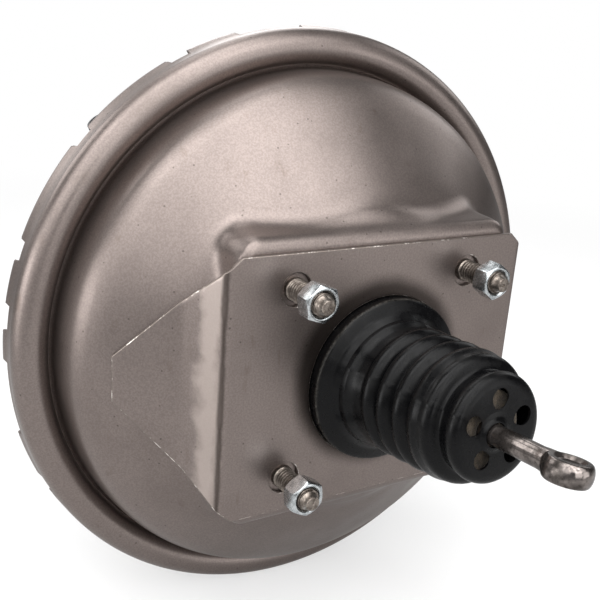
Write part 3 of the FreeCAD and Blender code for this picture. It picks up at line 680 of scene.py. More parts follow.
def placed(thing: Object, move: Sequence[float] = (0.0, 0.0, 0.0),
           turn: Sequence[float] = (0.0, 0.0, 0.0), about: Sequence[float] = (0.0, 0.0, 0.0)) -> Object:
    """Turns a piece about a point, moves it, and leaves its object at the origin.

    Args:
        thing: The piece.
        move: Millimetres along each axis.
        turn: Degrees about each axis.
        about: The point to turn about, in millimetres.

    Returns:
        The same piece.
    """
    turning = Euler([math.radians(t) for t in turn]).to_matrix().to_4x4()
    centre = Matrix.Translation(Vector(about) * MM)
    thing.matrix_world = Matrix.Translation(Vector(move) * MM) @ centre @ turning @ centre.inverted()
    return baked(thing)


def copied(thing: Object, name: str) -> Object:
    """A copy of a piece with its own mesh.

    Args:
        thing: The piece.
        name: The copy's name.

    Returns:
        The copy.
    """
    twin = thing.copy()
    twin.data = thing.data.copy()
    twin.name = name
    bpy.context.scene.collection.objects.link(twin)
    return twin


def places_of(thing: Object) -> np.ndarray:
    """Every vertex's place in millimetres, one row each."""
    flat = np.empty(len(thing.data.vertices) * 3, np.float32)
    thing.data.vertices.foreach_get("co", flat)
    return flat.reshape(-1, 3).astype(float) / MM


def reshaped(thing: Object, rule: Rule) -> Object:
    """Moves every vertex of a piece.

    Args:
        thing: The piece.
        rule: Takes the places in millimetres and gives the new ones.

    Returns:
        The same piece.
    """
    moved = rule(places_of(thing)) * MM
    thing.data.vertices.foreach_set("co", moved.astype(np.float32).ravel())
    thing.data.update()
    return thing


def tagged(thing: Object, name: str, rule: Rule) -> Object:
    """Writes a number on every vertex of a piece.

    Args:
        thing: The piece.
        name: The attribute's name.
        rule: Takes the places in millimetres and gives the numbers.

    Returns:
        The same piece.
    """
    layer = thing.data.attributes.new(name, "FLOAT", "POINT")
    layer.data.foreach_set("value", rule(places_of(thing)).astype(np.float32))
    return thing


def dressed(thing: Object, *finishes: bpy.types.Material) -> Object:
    """Gives a piece its materials.

    Args:
        thing: The piece.
        *finishes: The materials, in the order of their slots.

    Returns:
        The same piece.
    """
    thing.data.materials.clear()
    for finish in finishes:
        thing.data.materials.append(finish)
    return thing


def flowing(points: Sequence[Point], spacing: float) -> list[Point]:
    """A smooth line through the points of a turned outline.

    Args:
        points: The points, in millimetres.
        spacing: About how far apart the new points lie.

    Returns:
        The finer points, with the given ones among them.
    """
    ends = [(2 * points[0][0] - points[1][0], 2 * points[0][1] - points[1][1])]
    ends += list(points) + [(2 * points[-1][0] - points[-2][0], 2 * points[-1][1] - points[-2][1])]
    found: list[Point] = []
    for a, b, c, d in zip(ends, ends[1:], ends[2:], ends[3:]):
        t0 = 0.0
        t1 = t0 + math.hypot(b[0] - a[0], b[1] - a[1]) ** 0.5
        t2 = t1 + math.hypot(c[0] - b[0], c[1] - b[1]) ** 0.5
        t3 = t2 + math.hypot(d[0] - c[0], d[1] - c[1]) ** 0.5
        count = max(1, round(math.hypot(c[0] - b[0], c[1] - b[1]) / spacing))
        for i in range(count):
            t = t1 + (t2 - t1) * i / count
            pair = []
            for k in (0, 1):
                ab = ((t1 - t) * a[k] + (t - t0) * b[k]) / (t1 - t0)
                bc = ((t2 - t) * b[k] + (t - t1) * c[k]) / (t2 - t1)
                cd = ((t3 - t) * c[k] + (t - t2) * d[k]) / (t3 - t2)
                abc = ((t2 - t) * ab + (t - t0) * bc) / (t2 - t0)
                bcd = ((t3 - t) * bc + (t - t1) * cd) / (t3 - t1)
                pair.append(((t2 - t) * abc + (t - t1) * bcd) / (t2 - t1))
            found.append((pair[0], pair[1]))
    found.append((points[-1][0], points[-1][1]))
    return found


def eased(points: Sequence[Point], radius: float, steps: int = 3) -> list[Point]:
    """A closed turned outline with its corners rounded, except those on the axis.

    Args:
        points: The outline's corners, in millimetres.
        radius: How far from each corner the rounding starts.
        steps: Flats to each corner.

    Returns:
        The rounded outline.
    """
    found: list[Point] = []
    count = len(points)
    for i, here in enumerate(points):
        if here[0] < 1e-6:
            found.append(here)
            continue
        ends = []
        for other in (points[i - 1], points[(i + 1) % count]):
            way = (other[0] - here[0], other[1] - here[1])
            size = math.hypot(*way)
            reach = min(radius, size * 0.45) / size
            ends.append((here[0] + way[0] * reach, here[1] + way[1] * reach))
        for k in range(steps + 1):
            t = k / steps
            found.append(tuple((1 - t) ** 2 * ends[0][j] + 2 * t * (1 - t) * here[j] + t * t * ends[1][j]
                               for j in (0, 1)))
    return found


def arc(centre: Point, radius: float, first: float, last: float, steps: int) -> list[Point]:
    """Points on an arc of a turned outline, with angles in degrees."""
    return [(centre[0] + radius * math.cos(math.radians(first + (last - first) * i / steps)),
             centre[1] + radius * math.sin(math.radians(first + (last - first) * i / steps)))
            for i in range(steps + 1)]


def beside(line: Sequence[Point], distance: float) -> list[Point]:
    """The same line moved to its right, as it runs.

    Args:
        line: The line's points in millimetres.
        distance: How far, in millimetres; below zero is to its left.

    Returns:
        The moved line, with as many points.
    """
    found = []
    for i, here in enumerate(line):
        a = line[max(i - 1, 0)]
        b = line[min(i + 1, len(line) - 1)]
        dx, dy = b[0] - a[0], b[1] - a[1]
        size = math.hypot(dx, dy)
        found.append((here[0] + distance * dy / size, here[1] - distance * dx / size))
    return found


def soft_least(a: np.ndarray, b: np.ndarray, reach: float) -> np.ndarray:
    """The lesser of two heights, with the crease between them rounded over so many millimetres."""
    share = np.clip(0.5 + 0.5 * (b - a) / reach, 0.0, 1.0)
    return b * (1 - share) + a * share - reach * share * (1 - share)


def soft_most(a: np.ndarray, b: np.ndarray, reach: float) -> np.ndarray:
    """The greater of two heights, with the crease between them rounded over so many millimetres."""
    return -soft_least(-a, -b, reach)


def settle(thing: Object, body: Body, slot: Slot, *nodes: str) -> Object:
    """Lets a finished piece ride on a body and stand for its nodes.

    Args:
        thing: The piece.
        body: What it moves with.
        slot: The record's slot its finish comes from; it is not used.
        *nodes: The CAD nodes it stands for.

    Returns:
        The same piece.
    """
    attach(thing, body.value)
    if nodes:
        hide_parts(*nodes)
    LOG.info("%s rides on %s for %s", thing.name, body.value, ", ".join(nodes) or "no node")
    return thing


def bridged(thing: Object, first: Body, last: Body, node: str) -> Object:
    """Bakes a soft piece's place into its mesh and lets it stand for its node, on no body.

    Args:
        thing: The piece.
        first: The body where the stretch begins, which is only named in the log.
        last: The body where the stretch ends, which is only named in the log.
        node: The CAD node it stands for.

    Returns:
        The same piece.
    """
    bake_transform(thing)
    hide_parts(node)
    LOG.info("%s stretches from %s to %s for %s", thing.name, first.value, last.value, node)
    return thing


# The pieces

@dataclass(frozen=True)
class Drum:
    """The lines of the dome, the platform and the rim, which several pieces share."""

    line: tuple[Point, ...] = (
        (0.0, 8.0), (45.0, 8.5), (60.0, 10.2), (75.0, 15.0), (85.5, 20.6), (100.0, 30.4), (110.0, 37.6),
        (115.5, 41.9), (119.2, 45.6), (121.6, 49.4), (122.9, 53.5), (123.8, 59.0), (124.2, 66.0))
    groove: tuple[Point, ...] = ((124.4, 67.6), (125.0, 69.0), (125.9, 69.5))
    bead_ring: float = 134.0
    bead_y: float = 70.3
    bead_radius: float = 8.0
    wall: float = 2.0
    platform_y: float = 2.03
    platform_half_x: float = 69.5
    platform_half_z: float = 63.5
    platform_corner: float = 8.0
    platform_edge: float = 4.5
    draft_x: float = 0.0625
    draft_z: float = 0.1375
    corner_growth: float = 0.30
    boss_y: float = 8.4
    boss_radius: float = 68.8
    boss_slope: float = 1.45
    boss_edge: float = 3.0
    fillet: float = 5.5
    boss_fillet: float = 3.5

    def dome(self, r: np.ndarray) -> np.ndarray:
        """The dome's height at a radius, without the platform."""
        fine = flowing(self.line, 1.0)
        return np.interp(r, [p[0] for p in fine], [p[1] for p in fine])

    def outline(self, across: np.ndarray, up: np.ndarray) -> np.ndarray:
        """How far from the axis the platform's outline lies.

        Args:
            across: The x of each direction's unit vector.
            up: Its z.

        Returns:
            The distances in millimetres.
        """
        c, s = np.abs(across), np.abs(up)
        a, b, q = self.platform_half_x + 0.5, self.platform_half_z + 1.0, self.platform_corner + 2.0
        side = a / np.maximum(c, 1e-9)
        top = b / np.maximum(s, 1e-9)
        along = (a - q) * c + (b - q) * s
        off = (a - q) * s - (b - q) * c
        corner = along + np.sqrt(np.maximum(q * q - off * off, 0.0))
        return np.where(side * s <= b - q, side, np.where(top * c <= a - q, top, corner))

    def air(self, x: np.ndarray, y: np.ndarray, z: np.ndarray) -> np.ndarray:
        """About how far points lie outside the shell, whose dome, boss and platform run softly together.

        Args:
            x: Their places across, in millimetres.
            y: Their places along the booster's axis.
            z: Their heights.

        Returns:
            The distances, below zero inside the shell.
        """
        r = np.hypot(x, z)
        here = self.dome(r)
        lean = np.hypot(1.0, (self.dome(r + 0.5) - self.dome(r - 0.5)))
        dome = (here - y) / lean
        rise = y - self.boss_y
        aside = r - self.boss_radius - rise / self.boss_slope
        aside = aside * self.boss_slope / math.hypot(1, self.boss_slope)
        boss = self.block(aside, -rise, self.boss_edge)
        rise = y - self.platform_y
        corner = self.platform_corner + self.corner_growth * rise
        qx = np.abs(x) - (self.platform_half_x + self.draft_x * rise - corner)
        qz = np.abs(z) - (self.platform_half_z + self.draft_z * rise - corner)
        aside = np.hypot(np.maximum(qx, 0.0), np.maximum(qz, 0.0)) - corner
        aside = aside + np.minimum(np.maximum(qx, qz), 0.0)
        platform = self.block(aside, -rise, self.platform_edge)
        return soft_least(soft_least(dome, boss, self.boss_fillet), platform, self.fillet)

    @staticmethod
    def block(aside: np.ndarray, over: np.ndarray, edge: float) -> np.ndarray:
        """Distance from a block with a rounded edge, from the distances beside it and over it."""
        p, q = aside + edge, over + edge
        return np.hypot(np.maximum(p, 0.0), np.maximum(q, 0.0)) + np.minimum(np.maximum(p, q), 0.0) - edge

    def surface(self, x: np.ndarray, z: np.ndarray) -> np.ndarray:
        """The height of the shell's outside, found by halving.

        Args:
            x: Places across, in millimetres.
            z: Their heights.

        Returns:
            Their places along the booster's axis.
        """
        low = np.full_like(x, -5.0)
        high = np.full_like(x, 80.0)
        for _ in range(30):
            y = (low + high) / 2.0
            clear = self.air(x, y, z) > 0.0
            low = np.where(clear, y, low)
            high = np.where(clear, high, y)
        return (low + high) / 2.0


@dataclass
class RearShell:
    """The pressed rear half: dome, platform, rolled bead, skirt with its lobes, and the collar."""

    drum: Drum = field(default_factory=Drum)
    inner_radius: float = 23.4
    dome_end: float = 118.0
    ring: float = 75.0
    band: float = 8.0
    steps: int = 396
    skirt_steps: int = 1440
    lobes: tuple[Point, ...] = (
        (81.5, 91.8), (105.0, 115.2), (119.2, 137.4), (141.2, 159.4), (162.9, 171.0), (175.4, 181.2),
        (195.5, 205.5), (209.5, 227.5), (231.3, 249.3), (253.0, 261.0), (265.4, 271.4), (285.5, 295.5),
        (299.5, 317.5), (321.3, 339.3), (343.0, 351.0), (355.4, 361.4), (15.5, 25.5), (29.5, 47.5),
        (51.3, 69.3))
    lobe_rounding: float = 1.5
    lobe_rows: int = 14
    short_length: float = 5.3
    skirt_wall: float = 1.9
    skirt_line: tuple[Point, ...] = (
        (142.0, 69.8), (142.0, 73.0), (142.25, 75.5), (142.7, 77.5), (142.9, 79.0), (142.2, 80.1),
        (140.4, 80.5), (139.0, 80.3), (138.0, 79.9))
    collar: tuple[Point, ...] = (
        (22.5, 4.0), (22.5, -8.0), (25.7, -8.0), (25.7, -6.4), (24.5, -5.6), (24.5, 4.0))

    def pressing(self) -> Object:
        """The dome, platform and bead as one sheet.

        Returns:
            The closed mesh.
        """
        drum = self.drum
        start, low, high, end = self.inner_radius, self.ring - self.band, self.ring + self.band, self.dome_end
        radii = np.concatenate([
            np.linspace(start, low, 9)[:-1], np.linspace(low, high, 37)[:-1], np.linspace(high, end, 27)])
        line = [(float(r), 0.0) for r in radii]
        rim = [p for p in drum.line if p[0] > end + 0.5] + list(drum.groove)
        rim = flowing([(end, float(drum.dome(np.array([end]))[0]))] + rim, 1.0)
        bead = arc((drum.bead_ring, drum.bead_y), drum.bead_radius, 191.0, 360.0, 24)
        sheet = turned("rear_shell_pressing", line[:-1] + rim + bead, self.steps, closed=False)

        def press(places: np.ndarray) -> np.ndarray:
            """Lays the rings near the platform along its outline, and then presses them to height.

            Args:
                places: The flat sheet's places in millimetres.

            Returns:
                The pressed places.
            """
            r = np.hypot(places[:, 0], places[:, 2])
            inside = r < end - 0.2
            x, z, here = places[inside, 0], places[inside, 2], r[inside]
            edge = drum.outline(x / here, z / here)
            near = start + (here - start) / (low - start) * (edge - self.band - start)
            far = edge + self.band + (here - high) / (end - high) * (end - edge - self.band)
            there = np.where(here < low, near, np.where(here < high, here - self.ring + edge, far))
            places[inside, 0] = x * there / here
            places[inside, 2] = z * there / here
            places[inside, 1] = drum.surface(places[inside, 0], places[inside, 2])
            return places

        reshaped(sheet, press)
        edit(sheet)
        bpy.ops.mesh.normals_make_consistent(inside=False)
        bpy.ops.object.mode_set(mode="OBJECT")
        faced(sheet, min(sheet.data.polygons, key=lambda p: p.center.length), (0.0, -1.0, 0.0))
        return applied(sheet, "SOLIDIFY", thickness=drum.wall * MM, offset=-1.0, use_rim=True)

    def skirt(self) -> Object:
        """The bead's skirt, with the lobes that are crimped over the front shell.

        Returns:
            The closed mesh.
        """
        rows, deep = self.lobe_rows, 10.0
        band = turned("rear_shell_lobes", [(100.0, deep * i / rows) for i in range(rows + 1)],
                      self.skirt_steps, closed=False)
        edge = flowing(self.skirt_line, 0.25)
        lengths = [0.0]
        for a, b in zip(edge, edge[1:]):
            lengths.append(lengths[-1] + math.hypot(b[0] - a[0], b[1] - a[1]))
        full = lengths[-1]

        def fold(places: np.ndarray) -> np.ndarray:
            """Lays a plain hoop along the skirt's line, short between the lobes and full along them.

            Args:
                places: The hoop's places in millimetres.

            Returns:
                The folded places.
            """
            turn = np.degrees(np.arctan2(places[:, 2], places[:, 0])) % 360.0
            reach = np.zeros(len(turn))
            for first, last in self.lobes:
                middle = (first + last) / 2.0
                half = (last - first) / 2.0
                away = np.abs((turn - middle + 180.0) % 360.0 - 180.0)
                t = np.clip((half - away) / self.lobe_rounding, 0.0, 1.0)
                reach = np.maximum(reach, np.sqrt(t * (2.0 - t)))
            share = places[:, 1] / deep
            along = share * (self.short_length + (full - self.short_length) * reach)
            r = np.interp(along, lengths, [p[0] for p in edge])
            y = np.interp(along, lengths, [p[1] for p in edge])
            angle = np.radians(turn)
            return np.stack([r * np.cos(angle), y, r * np.sin(angle)], 1)

        reshaped(band, fold)
        faced(band, max(band.data.polygons, key=lambda p: p.center.x), (1.0, 0.0, 0.0))
        return applied(band, "SOLIDIFY", thickness=self.skirt_wall * MM, offset=-1.0, use_rim=True)

    def build(self, steel: bpy.types.Material) -> None:
        """Builds and dresses the rear shell's pieces.

        Args:
            steel: The phosphated steel.
        """
        shell = smoothed(dressed(self.pressing(), steel), 40.0)
        skirt = smoothed(dressed(self.skirt(), steel), 50.0)
        collar = smoothed(dressed(turned("rear_shell_collar", eased(self.collar, 0.5), 96), steel))
        for piece in (shell, skirt, collar):
            settle(piece, Body.HOUSING, Slot.SHELL, "rear_shell")


@dataclass
class MountingPlate:
    """The plate between the booster and the firewall: flat middle, sloped sides and wings on the dome."""

    drum: Drum = field(default_factory=Drum)
    corners: tuple[Point, ...] = (
        (-70.0, 58.0), (70.0, 58.0), (77.0, 52.0), (85.5, 38.0), (110.0, 10.0), (110.0, -10.0),
        (85.5, -38.0), (77.0, -52.0), (70.0, -58.0), (-70.0, -58.0), (-77.0, -52.0), (-85.5, -38.0),
        (-110.0, -10.0), (-110.0, 10.0), (-85.5, 38.0), (-77.0, 52.0))
    thickness: float = 2.0
    fold_x: float = 76.0
    slope: float = 18.0 / 9.5
    crease_x: float = 85.5
    crease_y: float = 18.35
    wing_slope: float = 0.694
    hole: float = 37.5
    stud_hole: float = 7.1
    stud_x: float = 45.0
    stud_z: float = 42.5
    edge: float = 0.45

    def height(self, x: np.ndarray, z: np.ndarray) -> np.ndarray:
        """The height of the plate's outer face.

        Args:
            x: Places across, in millimetres.
            z: Their heights.

        Returns:
            Their places along the booster's axis.
        """
        wall = soft_most((np.abs(x) - self.fold_x) * self.slope, np.zeros_like(x), 3.4)
        skin = self.drum.dome(np.hypot(x, z)) - self.thickness - 0.25
        wing = soft_least(self.crease_y + (np.abs(x) - self.crease_x) * self.wing_slope, skin, 0.8)
        return np.where(np.abs(x) < self.fold_x - 6.0, 0.0, soft_least(wall, wing, 2.4))

    def build(self, steel: bpy.types.Material, worn: bpy.types.Material) -> None:
        """Builds the flat blank, punches and bevels it, and then bends it.

        Args:
            steel: The phosphated steel with grease round the boot and the studs.
            worn: The sheared edge's finish.
        """
        plate = strung("mounting_plate_pressing", [(x, 0.0, z) for x, z in self.corners])
        bpy.ops.mesh.select_all(action="SELECT")
        bpy.ops.mesh.edge_face_add()
        bpy.ops.mesh.extrude_region_move(TRANSFORM_OT_translate={"value": (0.0, self.thickness * MM, 0.0)})
        close(plate)
        # The hole follows the boot's flange, which sits a little to one side.
        punch = rod("punch", self.hole, 20.0, (BOOT_PLACE[0], 0, BOOT_PLACE[1]), sides=160)
        joined(plate, punch, "DIFFERENCE")
        for sx in (-1, 1):
            for sz in (-1, 1):
                punch = rod("punch", self.stud_hole, 20.0, (sx * self.stud_x, 0, sz * self.stud_z), sides=72)
                joined(plate, punch, "DIFFERENCE")
        dressed(plate, steel, worn)
        applied(plate, "BEVEL", width=self.edge * MM, segments=2, limit_method="ANGLE",
                angle_limit=math.radians(50), material=1, use_clamp_overlap=False)
        edit(plate)
        # The cuts lie closest where the plate folds.
        cuts = [71.0 + 0.75 * i for i in range(13)] + [81.0 + 1.5 * i for i in range(20)]
        for x in cuts:
            for side in (-1, 1):
                bpy.ops.mesh.select_all(action="SELECT")
                bpy.ops.mesh.bisect(plane_co=(side * x * MM, 0, 0), plane_no=(1, 0, 0))
        for i in range(-29, 30):
            pick(plate, lambda place: abs(place.x) > 70.9 * MM)
            bpy.ops.mesh.bisect(plane_co=(0, 0, 2.0 * i * MM), plane_no=(0, 0, 1))
        bpy.ops.object.mode_set(mode="OBJECT")

        def bend(places: np.ndarray) -> np.ndarray:
            """Lays the blank's outer face at its height, with its thickness square to it.

            Args:
                places: The flat blank's places in millimetres.

            Returns:
                The bent places.
            """
            x, depth, z = places[:, 0].copy(), places[:, 1].copy(), places[:, 2].copy()
            step = 0.05
            y = self.height(x, z)
            dx = (self.height(x + step, z) - self.height(x - step, z)) / (2 * step)
            dz = (self.height(x, z + step) - self.height(x, z - step)) / (2 * step)
            size = np.sqrt(dx * dx + dz * dz + 1.0)
            return np.stack([x - depth * dx / size, y + depth / size, z - depth * dz / size], 1)

        reshaped(plate, bend)
        smoothed(plate, 20.0)
        settle(plate, Body.HOUSING, Slot.SHELL, "mounting_plate")


@dataclass
class ThreadedStud:
    """A pressed-in stud with a rolled thread."""

    major: float = 4.7625
    minor: float = 3.8
    pitch: float = 1.5875

    def threads(self, name: str, start: float, end: float) -> Object:
        """A length of real thread along Y, cut square at both ends.

        Args:
            name: The piece's name.
            start: Its lower end, in millimetres.
            end: Its upper end.

        Returns:
            The closed mesh.
        """
        count = math.ceil((end - start) / self.pitch) + 3
        low = start - 1.5 * self.pitch
        p = self.pitch
        line = [(self.minor, 0.0), (self.minor, 0.14 * p), (self.major, 0.46 * p), (self.major, 0.60 * p),
                (self.minor, 0.92 * p), (self.minor, p)]
        thing = strung(name, [(r, low + y, 0.0) for r, y in line])
        bpy.ops.object.mode_set(mode="OBJECT")
        applied(thing, "SCREW", axis="Y", angle=math.tau, screw_offset=p * MM, iterations=count,
                steps=28, render_steps=28, use_merge_vertices=True, merge_threshold=0.001 * MM)
        for height, outer in ((start, -1.0), (end, 1.0)):
            edit(thing)
            bpy.ops.mesh.bisect(plane_co=(0, height * MM, 0), plane_no=(0, outer, 0), use_fill=True,
                                clear_outer=True)
            bpy.ops.object.mode_set(mode="OBJECT")
        edit(thing)
        close(thing)
        # The thread's roots are marked for painted shade, the more the deeper they lie.
        depth = self.major - self.minor
        return tagged(thing, "root_shade", lambda at: np.clip(
            (self.major - np.hypot(at[:, 0], at[:, 2])) / depth, 0, 1))

    def union(self, name: str, parts: Sequence[Object]) -> Object:
        """Several closed solids that overlap, kept in one piece.

        Args:
            name: The piece's name.
            parts: The solids, which are used up.

        Returns:
            The piece.
        """
        bpy.ops.object.select_all(action="DESELECT")
        for part in parts:
            part.select_set(True)
        bpy.context.view_layer.objects.active = parts[0]
        bpy.ops.object.join()
        parts[0].name = name
        return parts[0]


@dataclass
class FirewallFixings:
    """The four studs with dog points, and their zinc plated nuts."""

    tip_y: float = -24.1
    nut_y: float = -20.2
    nut_height: float = 8.3
    across: float = 14.29
    turns: tuple[float, ...] = (49.3, 7.3, 57.0, 21.0)
    rolls: tuple[float, ...] = (47.0, 190.0, 301.0, 84.0)
    thread: ThreadedStud = field(default_factory=ThreadedStud)

    def stud(self) -> Object:
        """One stud on the axis.

        Returns:
            The closed mesh.
        """
        shank = self.thread.threads("stud", self.nut_y - 0.6, 0.2)
        point = turned("point", eased([
            (0.0, self.tip_y), (3.1, self.tip_y), (3.2, -22.4), (3.5, -21.6), (4.3, -20.4), (4.3, -18.5),
            (0.0, -18.5)], 0.4), 40)
        head = turned("head", eased([
            (0.0, -0.4), (4.5, -0.4), (5.1, 0.3), (5.1, 4.05), (9.0, 4.05), (9.0, 7.2), (0.0, 7.2)], 0.35), 40)
        # The tip keeps the small notch that its cold heading leaves.
        notch = rod("notch", 0.6, 3.4, (1.4, self.tip_y - 0.2, 0.0), "X", 24)
        joined(point, notch, "DIFFERENCE")
        return self.thread.union("firewall_stud", (shank, point, head))

    def nut(self) -> Object:
        """One hexagon nut on the axis, chamfered on both faces, with a plain bore that has no thread.

        Returns:
            The closed mesh.
        """
        corner = self.across / 2.0 / math.cos(math.radians(30))
        flat = self.across / 2.0
        top = self.nut_y
        low = self.nut_y + self.nut_height
        hexagon = rod("firewall_nut", corner, self.nut_height, (0, (top + low) / 2.0, 0), "Y", 6)
        crown = turned("crown", [
            (0.0, top), (flat - 0.5, top), (flat - 0.1, top + 0.2), (corner + 0.2, top + 1.15),
            (corner + 0.2, low - 1.15), (flat - 0.1, low - 0.2), (flat - 0.5, low), (0.0, low)], 96)
        joined(hexagon, crown, "INTERSECT")
        bore = turned("bore", [
            (0.0, top - 1.0), (6.15, top - 1.0), (5.95, top), (5.5, top + 0.5), (4.85, top + 1.2),
            (4.72, top + 1.4), (4.72, low - 0.5), (5.2, low + 0.1), (5.2, low + 1.0), (0.0, low + 1.0)], 72)
        joined(hexagon, bore, "DIFFERENCE")
        applied(hexagon, "BEVEL", width=0.22 * MM, segments=2, limit_method="ANGLE",
                angle_limit=math.radians(22), use_clamp_overlap=True)
        return smoothed(hexagon, 18.0)

    def build(self, steel: bpy.types.Material, zinc: bpy.types.Material) -> None:
        """Builds one stud and one nut and copies them to their places.

        Args:
            steel: The studs' finish.
            zinc: The nuts' finish.
        """
        stud = smoothed(dressed(self.stud(), steel), 34.0)
        nut = dressed(self.nut(), zinc)
        for number, (x, z) in enumerate(STUD_PLACES, 1):
            roll, turn = self.rolls[number - 1], self.turns[number - 1]
            screw = placed(copied(stud, "firewall_stud_%d_threaded" % number), (x, 0, z), (0, roll, 0))
            cap = placed(copied(nut, "firewall_nut_%d_plated" % number), (x, 0, z), (0, turn, 0))
            settle(screw, Body.HOUSING, Slot.STUD, "firewall_stud_%d" % number)
            settle(cap, Body.HOUSING, Slot.ZINC, "firewall_nut_%d" % number)
        bpy.data.objects.remove(stud)
        bpy.data.objects.remove(nut)


@dataclass
class DustBoot:
    """The moulded rubber bellows, which stands six degrees up and a little to one side, as it was pulled on."""

    tilt: float = 6.0
    ball_y: float = -30.0
    flange_y: float = -5.0
    wall: float = 1.5
    steps: int = 160
    flange: tuple[Point, ...] = (
        (30.6, 1.95), (36.2, 1.95), (36.9, 1.2), (37.1, -1.0), (37.4, -3.4), (37.6, -4.6), (37.3, -5.5),
        (36.5, -6.0), (34.0, -7.0), (32.0, -7.8), (31.1, -8.4), (29.2, -10.3), (27.9, -11.9), (26.9, -13.3),
        (25.6, -15.8), (24.7, -18.6), (24.2, -20.6), (24.3, -21.8), (25.0, -23.0))
    crests: tuple[Point, ...] = ((26.7, -25.3), (26.4, -34.7), (26.2, -44.9))
    valley: float = 21.8
    tuck: tuple[Point, ...] = ((22.4, -50.4), (23.4, -51.6), (24.0, -52.8), (24.2, -54.5), (24.1, -56.5))
    cap: tuple[Point, ...] = (
        (24.9, -52.2), (25.5, -52.9), (25.95, -53.9), (26.0, -55.0), (25.6, -56.4), (25.2, -58.2),
        (25.15, -59.6), (24.9, -60.9), (24.0, -61.8), (22.6, -62.3), (21.0, -62.9), (20.0, -63.9),
        (19.7, -65.2), (19.9, -66.8), (20.5, -68.6), (20.85, -70.3), (20.7, -71.6), (19.9, -72.5),
        (18.4, -72.95), (15.6, -73.3), (13.0, -73.6), (10.4, -74.0), (8.2, -74.4), (6.6, -74.8),
        (6.0, -75.4), (5.5, -75.8), (5.0, -75.8), (4.7, -75.4), (4.65, -74.4))
    vent: float = 4.0
    vent_circle: float = 12.8
    vents: int = 5
    rod_aside: Point = (0.0, -1.1)
    # Where the rings go from upright to square to the leaning line, and where each half stretches.
    upright: Point = (-8.0, -22.0)
    bellows_stretch: Point = (-8.0, -49.0)
    cap_stretch: Point = (-44.0, -62.0)
    # The lip begins at this radius and depth, and is pulled over this much of each.
    lip: Point = (11.0, -70.0)
    lip_run: Point = (5.5, 2.0)
    dust_rings: tuple[Point, ...] = ((26.0, -54.4), (25.1, -60.2), (20.8, -71.2))
    dust_width: float = 0.8
    crest_dust: float = 0.1
    rim: Point = (36.6, -5.0)
    rim_width: float = 0.7
    seam_turn: float = 155.0
    seam_height: float = 0.22
    seam_width: float = 1.3
    seam_inner: float = 12.0

    def lean(self, places: np.ndarray) -> np.ndarray:
        """Sets the boot on its leaning line, with its rings upright at the flange and square to it further out.

        Args:
            places: The straight boot's places in millimetres.

        Returns:
            The leaning boot's places.
        """
        full = -math.radians(self.tilt)
        start, end = self.upright
        s, up = places[:, 1].copy(), places[:, 2].copy()
        t = np.clip((s - start) / (end - start), 0.0, 1.0)
        angle = full * t * t * (3 - 2 * t)
        r = np.hypot(places[:, 0], up)
        # The lip is drawn down to the rod, which hangs lower than the boot's own line.
        pull = np.clip((self.lip[0] - r) / self.lip_run[0], 0.0, 1.0)
        pull = pull * np.clip((self.lip[1] - s) / self.lip_run[1], 0.0, 1.0)
        pull = pull * pull * (3 - 2 * pull)
        line = np.minimum(s, self.flange_y) - self.ball_y
        places[:, 0] += BOOT_PLACE[0] + pull * (self.rod_aside[0] - BOOT_PLACE[0])
        places[:, 1] = self.ball_y + (s - self.ball_y) * np.cos(angle) - up * np.sin(angle)
        places[:, 2] = line * math.sin(full) + up * np.cos(angle) + pull * self.rod_aside[1]
        return places

    def dust(self, places: np.ndarray) -> np.ndarray:
        """How much dust each place holds: some on the crests, and most on the flange's rim.

        Args:
            places: The straight boot's places in millimetres.

        Returns:
            The dust, from 0 to 1.
        """
        r, s = np.hypot(places[:, 0], places[:, 2]), places[:, 1]
        wide = self.dust_width
        crest = np.zeros(len(r))
        for radius, y in self.crests + self.dust_rings:
            near = np.exp(-((s - y) / wide) ** 2)
            crest = np.maximum(crest, near * np.clip((r - radius + wide) / wide, 0.0, 1.0))
        rim = np.exp(-((s - self.rim[1]) / self.rim_width) ** 2)
        rim = rim * np.clip((r - self.rim[0]) / wide, 0.0, 1.0)
        return np.where(r > 30.0, rim, crest * self.crest_dust)

    def seam(self, places: np.ndarray) -> np.ndarray:
        """Raises the fine parting line that the mould left along both sides.

        Args:
            places: The straight boot's places in millimetres.

        Returns:
            The places with the line raised.
        """
        r = np.hypot(places[:, 0], places[:, 2])
        turn = np.degrees(np.arctan2(places[:, 2], places[:, 0]))
        off = np.abs((turn - self.seam_turn + 90.0) % 180.0 - 90.0)
        rise = self.seam_height * np.clip(1.0 - off / self.seam_width, 0.0, 1.0)
        scale = (r + rise) / np.maximum(r, 1e-6)
        outer = r > self.seam_inner
        places[outer, 0] *= scale[outer]
        places[outer, 2] *= scale[outer]
        return places

    def moulded(self, piece: Object, rubber: bpy.types.Material) -> Object:
        """Dusts, seams, leans and dresses one of the boot's pieces.

        Args:
            piece: The piece, still straight.
            rubber: The boot's rubber.

        Returns:
            The same piece.
        """
        tagged(piece, "dust", self.dust)
        reshaped(piece, self.seam)
        reshaped(piece, self.lean)
        return smoothed(dressed(piece, rubber), 45.0)

